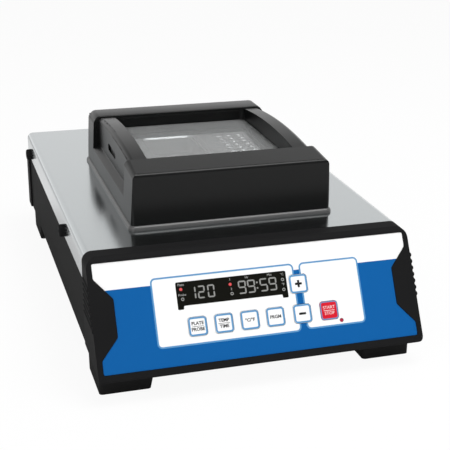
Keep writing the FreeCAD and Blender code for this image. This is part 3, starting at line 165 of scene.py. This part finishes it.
def addFloor(v):
    bpy.ops.object.select_all(action="DESELECT")
    bpy.ops.mesh.primitive_plane_add(size=v["floorSize"], location=(0, 0, 0))
    floor = bpy.context.object
    floor.name = "floor"
    finish = bpy.data.materials.new("paleFloor")
    finish.use_nodes = True
    tree = finish.node_tree
    tree.nodes.clear()
    output = tree.nodes.new("ShaderNodeOutputMaterial")
    plain = tree.nodes.new("ShaderNodeBsdfDiffuse")
    plain.inputs["Color"].default_value = (*v["floorColour"], 1)
    glow = tree.nodes.new("ShaderNodeEmission")
    glow.inputs["Color"].default_value = (1, 1, 1, 1)
    rays = tree.nodes.new("ShaderNodeLightPath")
    direct = tree.nodes.new("ShaderNodeMath")
    direct.operation = "MULTIPLY"
    direct.inputs[1].default_value = v["floorGlow"]
    tree.links.new(rays.outputs["Is Camera Ray"], direct.inputs[0])
    share = tree.nodes.new("ShaderNodeMath")
    share.operation = "MULTIPLY_ADD"
    share.inputs[1].default_value = v["floorShine"]
    tree.links.new(rays.outputs["Is Glossy Ray"], share.inputs[0])
    tree.links.new(direct.outputs[0], share.inputs[2])
    mix = tree.nodes.new("ShaderNodeMixShader")
    tree.links.new(share.outputs[0], mix.inputs[0])
    tree.links.new(plain.outputs[0], mix.inputs[1])
    tree.links.new(glow.outputs[0], mix.inputs[2])
    tree.links.new(mix.outputs[0], output.inputs["Surface"])
    floor.data.materials.append(finish)


bpy.context.scene.view_settings.view_transform = "Standard"
addWorld(lightValues)
addLamps(lightValues)
addFloor(lightValues)
print("light and floor set")


# Effects that several finishes share

def addGroup(name, inputs, outputs):
    group = bpy.data.node_groups.new(name, "ShaderNodeTree")
    for title, kind, value in inputs:
        socket = group.interface.new_socket(title, in_out="INPUT", socket_type=kind)
        socket.default_value = value
    for title, kind in outputs:
        group.interface.new_socket(title, in_out="OUTPUT", socket_type=kind)
    return group, group.nodes.new("NodeGroupInput"), group.nodes.new("NodeGroupOutput")


def addRoughness(group, given, value):
    centred = group.nodes.new("ShaderNodeMath")
    centred.operation = "SUBTRACT"
    centred.inputs[1].default_value = 0.5
    group.links.new(value, centred.inputs[0])
    rough = group.nodes.new("ShaderNodeMath")
    rough.operation = "MULTIPLY_ADD"
    group.links.new(centred.outputs[0], rough.inputs[0])
    group.links.new(given.outputs["Spread"], rough.inputs[1])
    group.links.new(given.outputs["Roughness"], rough.inputs[2])
    return rough.outputs[0]


def addBump(group, given, value, distance):
    bump = group.nodes.new("ShaderNodeBump")
    bump.inputs["Distance"].default_value = distance
    group.links.new(given.outputs["Depth"], bump.inputs["Strength"])
    group.links.new(value, bump.inputs["Height"])
    return bump.outputs["Normal"]


def addGrain():
    number = "NodeSocketFloat"
    group, given, result = addGroup(
        "mouldedGrain",
        [("Grain Size", number, 2500.0), ("Patch Size", number, 14.0), ("Roughness", number, 0.45),
         ("Spread", number, 0.06), ("Depth", number, 0.2)],
        [("Roughness", number), ("Normal", "NodeSocketVector"), ("Patch", number)])
    place = group.nodes.new("ShaderNodeTexCoord")
    fine = group.nodes.new("ShaderNodeTexNoise")
    fine.inputs["Detail"].default_value = 3
    patch = group.nodes.new("ShaderNodeTexNoise")
    patch.inputs["Detail"].default_value = 2
    group.links.new(place.outputs["Object"], fine.inputs["Vector"])
    group.links.new(place.outputs["Object"], patch.inputs["Vector"])
    group.links.new(given.outputs["Grain Size"], fine.inputs["Scale"])
    group.links.new(given.outputs["Patch Size"], patch.inputs["Scale"])
    rough = addRoughness(group, given, patch.outputs["Fac"])
    normal = addBump(group, given, fine.outputs["Fac"], 0.0001)
    group.links.new(rough, result.inputs["Roughness"])
    group.links.new(normal, result.inputs["Normal"])
    group.links.new(patch.outputs["Fac"], result.inputs["Patch"])
    return group


def addBrushing():
    number = "NodeSocketFloat"
    vector = "NodeSocketVector"
    group, given, result = addGroup(
        "brushedLines",
        [("Line Scale", vector, (12.0, 1400.0, 1400.0)), ("Roughness", number, 0.25),
         ("Spread", number, 0.2), ("Depth", number, 0.1)],
        [("Roughness", number), ("Normal", vector), ("Lines", number)])
    place = group.nodes.new("ShaderNodeTexCoord")
    stretch = group.nodes.new("ShaderNodeVectorMath")
    stretch.operation = "MULTIPLY"
    group.links.new(place.outputs["Object"], stretch.inputs[0])
    group.links.new(given.outputs["Line Scale"], stretch.inputs[1])
    lines = group.nodes.new("ShaderNodeTexNoise")
    lines.inputs["Scale"].default_value = 1
    lines.inputs["Detail"].default_value = 4
    lines.inputs["Roughness"].default_value = 0.65
    group.links.new(stretch.outputs[0], lines.inputs["Vector"])
    rough = addRoughness(group, given, lines.outputs["Fac"])
    normal = addBump(group, given, lines.outputs["Fac"], 0.00005)
    group.links.new(rough, result.inputs["Roughness"])
    group.links.new(normal, result.inputs["Normal"])
    group.links.new(lines.outputs["Fac"], result.inputs["Lines"])
    return group


grain = addGrain()
brushing = addBrushing()


# Finishes

def addFinish(name, colour, sockets):
    finish = bpy.data.materials.new(name)
    finish.use_nodes = True
    shader = finish.node_tree.nodes["Principled BSDF"]
    shader.inputs["Base Color"].default_value = (*colour, 1)
    for title, value in sockets.items():
        shader.inputs[title].default_value = value
    return finish, finish.node_tree, shader


def addEffect(tree, shader, group, values):
    effect = tree.nodes.new("ShaderNodeGroup")
    effect.node_tree = group
    for title, value in values.items():
        effect.inputs[title].default_value = value
    tree.links.new(effect.outputs["Roughness"], shader.inputs["Roughness"])
    tree.links.new(effect.outputs["Normal"], shader.inputs["Normal"])
    return effect


def tint(tree, shader, mask, light, shade):
    mix = tree.nodes.new("ShaderNodeMix")
    mix.data_type = "RGBA"
    mix.inputs["A"].default_value = (*[c * shade for c in light], 1)
    mix.inputs["B"].default_value = (*light, 1)
    tree.links.new(mask, mix.inputs["Factor"])
    tree.links.new(mix.outputs["Result"], shader.inputs["Base Color"])


def moulded(name, colour, roughness, gloss, depth=0.2, size=2500.0, shade=0.8):
    finish, tree, shader = addFinish(name, colour, {"Specular IOR Level": gloss})
    effect = addEffect(tree, shader, grain, {"Roughness": roughness, "Depth": depth, "Grain Size": size})
    tint(tree, shader, effect.outputs["Patch"], colour, shade)
    return finish


def metal(name, colour, roughness, scale, depth=0.1, spread=0.15, shade=0.85):
    finish, tree, shader = addFinish(name, colour, {"Metallic": 1.0})
    values = {"Line Scale": scale, "Roughness": roughness, "Depth": depth, "Spread": spread}
    effect = addEffect(tree, shader, brushing, values)
    tint(tree, shader, effect.outputs["Lines"], colour, shade)
    return finish


def lit(name, colour, strength):
    sockets = {"Emission Color": (*colour, 1), "Emission Strength": strength, "Specular IOR Level": 0.1}
    finish, tree, shader = addFinish(name, colour, sockets)
    effect = addEffect(tree, shader, grain, {"Roughness": 0.4, "Depth": 0.0})
    tint(tree, shader, effect.outputs["Patch"], colour, 0.9)
    return finish


def steelCover():
    return metal("steelCover", (0.60, 0.63, 0.64), 0.17, (12.0, 1400.0, 1400.0), depth=0.06, spread=0.12)


def zincSteel():
    return metal("zincSteel", (0.55, 0.55, 0.54), 0.32, (400.0, 400.0, 400.0))


def blockMetal():
    return metal("blockMetal", (0.36, 0.37, 0.375), 0.45, (900.0, 60.0, 900.0))


def trayPaint():
    return moulded("trayPaint", (0.022, 0.022, 0.022), 0.6, 0.012, depth=0.4, size=1500.0)


def bezelPlastic():
    return moulded("bezelPlastic", (0.0145, 0.0145, 0.015), 0.5, 0.012)


def hoodPlastic():
    return moulded("hoodPlastic", (0.0058, 0.0061, 0.0061), 0.3, 0.235, depth=0.12)


def collarPlastic():
    return moulded("collarPlastic", (0.10, 0.10, 0.10), 0.35, 0.6, depth=0.1)


def footRubber():
    return moulded("footRubber", (0.020, 0.020, 0.020), 0.7, 0.05, depth=0.5, size=1200.0)


def softRubber():
    return moulded("softRubber", (0.012, 0.012, 0.012), 0.8, 0.1, depth=0.4, size=1200.0)


def blueFilm():
    return moulded("blueFilm", (0.0072, 0.112, 0.361), 0.35, 0.02, depth=0.06, shade=0.96)


def whiteInk():
    return moulded("whiteInk", (0.91, 0.91, 0.91), 0.4, 0.02, depth=0.06, shade=0.99)


def blueInk():
    return moulded("blueInk", (0.11, 0.31, 0.57), 0.4, 0.02, depth=0.05, shade=0.95)


def darkInk():
    return moulded("darkInk", (0.02, 0.02, 0.02), 0.4, 0.02, depth=0.05)


def whiteKey():
    return moulded("whiteKey", (0.92, 0.92, 0.92), 0.42, 0.05, depth=0.12, shade=0.98)


def redKey():
    return moulded("redKey", (0.68, 0.016, 0.032), 0.38, 0.05, depth=0.1, shade=0.93)


def smokedWindow():
    return moulded("smokedWindow", (0.009, 0.009, 0.007), 0.15, 0.05, depth=0.02)


def dullRed():
    return moulded("dullRed", (0.45, 0.02, 0.06), 0.25, 0.3, depth=0.05)


def boardGreen():
    return moulded("boardGreen", (0.02, 0.1, 0.04), 0.4, 0.4, size=900.0)


def pressedBoard():
    return moulded("pressedBoard", (0.55, 0.52, 0.44), 0.85, 0.1, depth=0.6, size=600.0)


def copperCoil():
    return moulded("copperCoil", (0.28, 0.1, 0.04), 0.4, 0.4, size=500.0)


def digitGlow():
    return lit("digitGlow", (0.29, 0.29, 0.28), 0.08)


def markGlow():
    return lit("markGlow", (0.42, 0.42, 0.41), 0.06)


def redGlow():
    return lit("redGlow", (0.62, 0.08, 0.085), 0.25)


def hoodGlass():
    colour = (0.56, 0.57, 0.57)
    finish, tree, shader = addFinish("hoodGlass", colour, {"Transmission Weight": 0.76, "IOR": 1.12})
    effect = addEffect(tree, shader, grain, {"Roughness": 0.04, "Depth": 0.0, "Spread": 0.02})
    tint(tree, shader, effect.outputs["Patch"], colour, 0.96)
    return finish


def polishedEdge():
    return metal("polishedEdge", (0.85, 0.86, 0.87), 0.16, (300.0, 300.0, 300.0), spread=0.08, shade=0.95)


makers = [steelCover, zincSteel, blockMetal, trayPaint, bezelPlastic, hoodPlastic, collarPlastic, footRubber,
          softRubber, blueFilm, whiteInk, blueInk, darkInk, whiteKey, redKey, smokedWindow, dullRed,
          boardGreen, pressedBoard, copperCoil, digitGlow, markGlow, redGlow, hoodGlass, polishedEdge]
finishes = {maker.__name__: maker() for maker in makers}

nodeFinish = {
    "top_cover": "steelCover",
    "cover_screws": "bezelPlastic",
    "base_tray": "trayPaint",
    "rear_panel": "trayPaint",
    "front_bezel": "bezelPlastic",
    "rear_guard": "bezelPlastic",
    "panel_overlay": "blueFilm",
    "display_window": "smokedWindow",
    "display_module": "bezelPlastic",
    "control_board": "boardGreen",
    "power_board": "boardGreen",
    "key_switches": "bezelPlastic",
    "status_led": "dullRed",
    "heater_plate": "blockMetal",
    "dish_block": "blockMetal",
    "tube_block": "blockMetal",
    "driver_heatsink": "blockMetal",
    "insulation_pad": "pressedBoard",
    "support_posts": "pressedBoard",
    "thermal_cutout": "bezelPlastic",
    "well_collar": "collarPlastic",
    "hood": "hoodPlastic",
    "hood_window": "hoodGlass",
    "window_gasket": "softRubber",
    "hood_bumpers": "softRubber",
    "power_inlet": "bezelPlastic",
    "fuse_drawer": "bezelPlastic",
    "fuse_link": "hoodGlass",
    "power_switch": "bezelPlastic",
    "switch_rocker": "bezelPlastic",
    "transformer": "copperCoil",
    "foot_front_left": "footRubber",
    "foot_front_right": "footRubber",
    "foot_rear_left": "footRubber",
    "foot_rear_right": "footRubber",
    "key_plate_probe": "whiteKey",
    "key_temp_time": "whiteKey",
    "key_units": "whiteKey",
    "key_program": "whiteKey",
    "key_plus": "whiteKey",
    "key_minus": "whiteKey",
    "key_start_stop": "redKey",
}


def dress(node, finish):
    mesh = nodes[node].data
    mesh.materials.clear()
    mesh.materials.append(finishes[finish])


for node in nodes:
    dress(node, nodeFinish.get(node, "zincSteel"))
print("nodes dressed")


# The printed panel: u to the right, v up the slope, w out of the face
panelValues = {
    "tilt": 29.2,              # degrees from upright
    "filmThickness": 0.0006,
    "filmGap": 0.00025,
    "inkHeight": 0.00003,
    "bandLow": 0.0577,         # where the white band starts
    "leftPanel": (-0.0773, 0.0282, 0.0133, 0.0626),
    "rightPanel": (0.0323, 0.0780, 0.0141, 0.0625),
    "panelCorner": 0.0036,
    "bandCorner": 0.0001,
    "lineWidth": 0.0012,
    "reach": 0.001,            # how far the cutting shapes pass the film's edges
    "deep": 0.002,             # and its faces
}


def panelFrame(v):
    low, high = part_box("panel_overlay")
    tilt = math.radians(v["tilt"])
    y = low.y - v["filmGap"] * math.sin(tilt)
    z = low.z + v["filmThickness"] * math.sin(tilt) - v["filmGap"] * math.cos(tilt)
    return Matrix.Translation((0, y, z)) @ Matrix.Rotation(math.pi / 2 - tilt, 4, "X")


panelPlace = panelFrame(panelValues)


def settle(piece, finish, body="base"):
    piece.data.materials.clear()
    piece.data.materials.append(finishes[finish])
    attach(piece, body)


def onPanel(piece, finish, body="base"):
    piece.matrix_world = panelPlace
    bpy.ops.object.select_all(action="DESELECT")
    piece.select_set(True)
    bpy.context.view_layer.objects.active = piece
    bpy.ops.object.transform_apply(location=True, rotation=True, scale=True)
    settle(piece, finish, body)


def plate(name, u0, u1, v0, v1, corner, w0, w1, segments=6, ringWidth=0.0, drop=0.0):
    bpy.ops.object.select_all(action="DESELECT")
    bpy.ops.mesh.primitive_plane_add(size=1, location=((u0 + u1) / 2, (v0 + v1) / 2, w0))
    piece = bpy.context.object
    piece.name = name
    piece.scale = (u1 - u0, v1 - v0, 1)
    bpy.ops.object.transform_apply(location=True, rotation=True, scale=True)
    bpy.ops.object.mode_set(mode="EDIT")
    bpy.ops.mesh.select_all(action="SELECT")
    bpy.ops.mesh.bevel(offset=corner, segments=segments, affect="VERTICES")
    if ringWidth:
        bpy.ops.mesh.select_all(action="SELECT")
        bpy.ops.mesh.inset(thickness=ringWidth)
        bpy.ops.transform.translate(value=(0, 0, -drop))
        bpy.ops.mesh.delete(type="FACE")
    bpy.ops.mesh.select_all(action="SELECT")
    bpy.ops.mesh.extrude_region_move(TRANSFORM_OT_translate={"value": (0, 0, w1 - w0)})
    bpy.ops.mesh.select_all(action="SELECT")
    bpy.ops.mesh.normals_make_consistent(inside=False)
    bpy.ops.object.mode_set(mode="OBJECT")
    return piece


roundShare = 0.98              # corner that makes a square plate a disc, of half its side


def disc(name, u, v, radius, w0, w1, segments=6, ringWidth=0.0, drop=0.0):
    return plate(name, u - radius, u + radius, v - radius, v + radius, radius * roundShare, w0, w1,
                 segments, ringWidth, drop)


def joined(name, pieces):
    bpy.ops.object.select_all(action="DESELECT")
    for piece in pieces:
        piece.select_set(True)
    bpy.context.view_layer.objects.active = pieces[0]
    bpy.ops.object.join()
    pieces[0].name = name
    return pieces[0]


def words(name, text, size, u, v, w, weight=0.0, thickness=0.00003):
    bpy.ops.object.select_all(action="DESELECT")
    bpy.ops.object.text_add(location=(0, 0, 0))
    piece = bpy.context.object
    piece.data.body = text
    piece.data.align_x = "CENTER"
    piece.data.align_y = "CENTER"
    piece.data.size = size
    piece.data.offset = weight
    piece.data.extrude = thickness / 2
    piece.data.resolution_u = 3
    bpy.ops.object.convert(target="MESH")
    piece = bpy.context.object
    piece.name = name
    piece.location = (u, v, w + thickness / 2)
    bpy.ops.object.transform_apply(location=True, rotation=True, scale=True)
    return piece


def cutFromFilm(name, shape, lift):
    film = nodes["panel_overlay"]
    piece = bpy.data.objects.new(name, film.data.copy())
    bpy.context.scene.collection.objects.link(piece)
    bpy.ops.object.select_all(action="DESELECT")
    piece.select_set(True)
    bpy.context.view_layer.objects.active = piece
    bpy.ops.object.mode_set(mode="EDIT")
    bpy.ops.mesh.select_all(action="SELECT")
    bpy.ops.mesh.remove_doubles(threshold=0.000001)
    bpy.ops.mesh.normals_make_consistent(inside=False)
    bpy.ops.mesh.customdata_custom_splitnormals_clear()
    bpy.ops.object.mode_set(mode="OBJECT")
    bpy.ops.object.shade_flat()
    shape.matrix_world = panelPlace
    keep = piece.modifiers.new("keep", "BOOLEAN")
    keep.operation = "INTERSECT"
    keep.solver = "EXACT"
    keep.object = shape
    bpy.context.view_layer.objects.active = piece
    bpy.ops.object.modifier_apply(modifier="keep")
    bpy.data.objects.remove(shape)
    out = panelPlace.to_3x3() @ Vector((0, 0, lift))
    bpy.ops.object.mode_set(mode="EDIT")
    bpy.ops.mesh.select_all(action="SELECT")
    bpy.ops.transform.translate(value=out)
    bpy.ops.object.mode_set(mode="OBJECT")
    return piece


def addPrint(v):
    low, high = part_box("panel_overlay")
    half = high.x + v["reach"]
    top = (high.z - low.z) / math.cos(math.radians(v["tilt"])) + v["reach"]
    deep = v["deep"]
    shapes = {
        "whiteBand": plate("bandShape", -half, half, v["bandLow"], top, v["bandCorner"], -deep, deep, 1),
        "whitePanelLeft": plate("leftShape", *v["leftPanel"], v["panelCorner"], -deep, deep, 8),
        "whitePanelRight": plate("rightShape", *v["rightPanel"], v["panelCorner"], -deep, deep, 8),
    }
    lift = v["inkHeight"]
    for name, shape in shapes.items():
        piece = cutFromFilm(name, shape, lift)
        settle(piece, "whiteInk")
        lift += v["inkHeight"] / 3
    for name, sides in (("blueLineLeft", v["leftPanel"]), ("blueLineRight", v["rightPanel"])):
        shape = plate(name + "Shape", *sides, v["panelCorner"], -deep, deep, 8, v["lineWidth"])
        piece = cutFromFilm(name, shape, lift)
        settle(piece, "blueInk")


addPrint(panelValues)
print("panel printed")


# Keys: a line round each cap and its sign
keyValues = {
    "capDepth": 0.0006,
    "edge": 0.0001,
    "line": 0.0012,
    "redLineShare": 0.6,
    "corner": 0.0022,
    "ink": 0.00003,
    "textSize": 0.0032,
    "rowStep": 0.66,           # of the text size, from the middle to each word
    "textWeight": 0.00009,
    "redWeight": -0.00002,
    "ruleWidth": 0.0085,
    "ruleHeight": 0.0003,
    "signLength": 0.0052,
    "signWidth": 0.0016,
    "signCorner": 0.2,         # of half a sign's stroke, and of the rule's height
    "postRise": 1.2,           # of the ink's height, where strokes cross
    "signs": {
        "key_plate_probe": ("PLATE", "PROBE"),
        "key_temp_time": ("TEMP", "TIME"),
        "key_units": ("°C/°F",),
        "key_program": ("PRGM",),
        "key_start_stop": ("START", "STOP"),
        "key_plus": (),
        "key_minus": (),
    },
}


def keySpan(node, depth):
    away = panelPlace.inverted()
    corners = [away @ v.co for v in nodes[node].data.vertices]
    top = max(p.z for p in corners)
    cap = [p for p in corners if p.z > top - depth]
    return (min(p.x for p in cap), max(p.x for p in cap), min(p.y for p in cap), max(p.y for p in cap), top)


def addStroke(name, u, v, halfWidth, halfHeight, corner, low, high):
    return plate(name, u - halfWidth, u + halfWidth, v - halfHeight, v + halfHeight, corner, low, high, 1)


def signMarks(node, signs, weight, u, middle, top, v):
    size = v["textSize"]
    high = top + v["ink"]
    if len(signs) == 1:
        return [words("single", signs[0], size, u, middle, top, weight)]
    if len(signs) == 2:
        step = size * v["rowStep"]
        tall = v["ruleHeight"]
        return [
            words("upper", signs[0], size, u, middle + step, top, weight),
            words("lower", signs[1], size, u, middle - step, top, weight),
            addStroke("rule", u, middle, v["ruleWidth"] / 2, tall / 2, tall * v["signCorner"], top, high),
        ]
    half = v["signLength"] / 2
    thin = v["signWidth"] / 2
    corner = thin * v["signCorner"]
    marks = [addStroke("bar", u, middle, half, thin, corner, top, high)]
    if node == "key_plus":
        marks.append(addStroke("post", u, middle, thin, half, corner, top, top + v["ink"] * v["postRise"]))
    return marks


def addKeyPrint(node, signs, v):
    u0, u1, v0, v1, top = keySpan(node, v["capDepth"])
    body = node + "_body"
    edge = v["edge"]
    red = node == "key_start_stop"
    width = v["line"] * (v["redLineShare"] if red else 1.0)
    weight = v["redWeight"] if red else v["textWeight"]
    line = plate(node + "_line", u0 + edge, u1 - edge, v0 + edge, v1 - edge, v["corner"],
                 top, top + v["ink"], 6, width)
    onPanel(line, "blueInk", body)
    marks = signMarks(node, signs, weight, (u0 + u1) / 2, (v0 + v1) / 2, top, v)
    onPanel(joined(node + "_sign", marks), "whiteInk" if red else "darkInk", body)


for node, signs in keyValues["signs"].items():
    addKeyPrint(node, signs, keyValues)
print("keys marked")


# Lit digits and small marks of the display
displayValues = {
    "ink": 0.00003,
    "stroke": 0.0010,
    "flatInset": 0.55,         # these three are shares of a stroke's width
    "tallInset": 0.42,
    "strokeCorner": 0.4,
    "left": {"text": "120", "starts": (-0.0508, -0.0442, -0.0371), "width": 0.0052,
             "low": 0.0450, "high": 0.0540},
    "right": {"text": "9959", "starts": (-0.0145, -0.0077, 0.0016, 0.0084), "width": 0.0058,
              "low": 0.0448, "high": 0.0542},
    "segments": {"0": "abcdef", "1": "bc", "2": "abged", "5": "afgcd", "9": "abcdfg"},
    "colon": [(-0.0004, 0.0518), (-0.0004, 0.0478)],
    "colonRadius": 0.0006,
    "pointCorner": 0.6,        # of that radius
    "dots": [(-0.0561, 0.0528), (-0.0201, 0.0525)],
    "rings": [(-0.0556, 0.0458), (-0.0196, 0.0458), (0.0190, 0.0518), (0.0190, 0.0446)],
    "dotRadius": 0.0011,
    "ringShare": 0.35,         # width of a ring, of that radius
    "words": [
        ("Plate", -0.0558, 0.0559), ("Probe", -0.0556, 0.0488),
        ("1", -0.0200, 0.0559), ("2", -0.0196, 0.0490),
        ("Hr", -0.0075, 0.0562), ("Min", 0.0095, 0.0562),
        ("°C", 0.0190, 0.0555), ("°F", 0.0190, 0.0482),
    ],
    "wordSize": 0.0024,
}


def digitStrokes(sign, start, row, v, top):
    w = row["width"]
    low = row["low"]
    high = row["high"]
    middle = (low + high) / 2
    t = v["stroke"]
    across = t * v["flatInset"]
    along = t * v["tallInset"]
    corner = t * v["strokeCorner"]
    flat = {"a": high - t, "g": middle - t / 2, "d": low}
    tall = {"f": (start, middle, high), "b": (start + w - t, middle, high),
            "e": (start, low, middle), "c": (start + w - t, low, middle)}
    made = []
    for letter in v["segments"][sign]:
        if letter in flat:
            y = flat[letter]
            sides = (start + across, start + w - across, y, y + t)
        else:
            x, y0, y1 = tall[letter]
            sides = (x, x + t, y0 + along, y1 - along)
        made.append(plate(letter, *sides, corner, top, top + v["ink"], 1))
    return made


def addDisplay(v):
    away = panelPlace.inverted()
    top = max((away @ p.co).z for p in nodes["display_window"].data.vertices)
    high = top + v["ink"]
    strokes = []
    for row in (v["left"], v["right"]):
        for sign, start in zip(row["text"], row["starts"]):
            strokes += digitStrokes(sign, start, row, v, top)
    r = v["colonRadius"]
    for x, y in v["colon"]:
        strokes.append(plate("point", x - r, x + r, y - r, y + r, r * v["pointCorner"], top, high, 2))
    onPanel(joined("displayDigits", strokes), "digitGlow")
    r = v["dotRadius"]
    marks = [words("mark", text, v["wordSize"], x, y, top) for text, x, y in v["words"]]
    marks += [disc("ring", x, y, r, top, high, 6, r * v["ringShare"]) for x, y in v["rings"]]
    onPanel(joined("displayMarks", marks), "markGlow")
    dots = [disc("dot", x, y, r, top, high) for x, y in v["dots"]]
    onPanel(joined("displayDots", dots), "redGlow")


addDisplay(displayValues)
print("display lit")


# Polished edges of the pocket and of the wells
edgeValues = {
    "pocket": (-0.0386, 0.0062, -0.04405, 0.04195),
    "pocketCorner": 0.006,
    "pocketChamfer": 0.0014,
    "wellRadius": 0.0033,
    "wellChamfer": 0.0006,
    "wellColumns": (0.0464, 0.0374, 0.0284),
    "wellRows": 6,
    "wellFirst": 0.02945,
    "wellStep": 0.009,
    "thickness": 0.0002,
}


def addPocketEdge(v):
    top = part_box("dish_block")[1].z
    edge = plate("pocketEdge", *v["pocket"], v["pocketCorner"], top, top - v["thickness"], 8,
                 v["pocketChamfer"], v["pocketChamfer"])
    settle(edge, "polishedEdge")


def addWellEdges(v):
    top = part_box("tube_block")[1].z
    low = top - v["thickness"]
    edges = []
    for x in v["wellColumns"]:
        for row in range(v["wellRows"]):
            y = v["wellFirst"] - row * v["wellStep"]
            edges.append(disc("wellEdge", x, y, v["wellRadius"], top, low, 5,
                              v["wellChamfer"], v["wellChamfer"]))
    settle(joined("wellEdges", edges), "polishedEdge")


addPocketEdge(edgeValues)
addWellEdges(edgeValues)
print("block edges polished")


# Crown that gives the hood's rear bar its sharper back edge
crownValues = {
    "barTop": 0.1371,
    "rise": 0.0008,            # of the crown's top over the bar's
    "height": 0.0125,          # before its lower part is pressed flat
    "thickness": 0.0056,       # after that, so that it ends inside the bar's top wall
    "half": 0.0757,
    "endRadius": 0.0054,
    "fromRear": 0.0003,
    "depth": 0.0254,
    "rearRadius": 0.0026,
    "frontRadius": 0.0009,
    "near": 0.00001,
    "smoothAngle": 40,
}


def pick(piece, wanted):
    for part in (piece.data.polygons, piece.data.edges, piece.data.vertices):
        part.foreach_set("select", [False] * len(part))
    for point in piece.data.vertices:
        point.select = wanted(point.co)
    bpy.ops.object.mode_set(mode="EDIT")
    bpy.ops.mesh.select_mode(type="VERT")


def addBarCrown(v):
    top = v["barTop"] + v["rise"]
    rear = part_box("hood")[1].y - v["fromRear"]
    crown = plate("barCrown", -v["half"], v["half"], top - v["height"], top, v["endRadius"],
                  0, v["depth"], 8)
    crown.matrix_world = Matrix.Translation((0, rear, 0)) @ Matrix.Rotation(math.pi / 2, 4, "X")
    bpy.ops.object.transform_apply(location=True, rotation=True, scale=True)
    pick(crown, lambda p: p.z < top - v["height"] / 2)
    bpy.ops.transform.resize(value=(1, 1, 0), center_override=(0, 0, top - v["thickness"]))
    bpy.ops.object.mode_set(mode="OBJECT")
    for y, radius in ((rear, v["rearRadius"]), (rear - v["depth"], v["frontRadius"])):
        pick(crown, lambda p: abs(p.y - y) < v["near"])
        bpy.ops.mesh.bevel(offset=radius, segments=5, affect="EDGES")
        bpy.ops.object.mode_set(mode="OBJECT")
    bpy.ops.object.shade_smooth_by_angle(angle=math.radians(v["smoothAngle"]))
    settle(crown, "hoodPlastic", "hood_assembly")


addBarCrown(crownValues)
print("bar crowned")
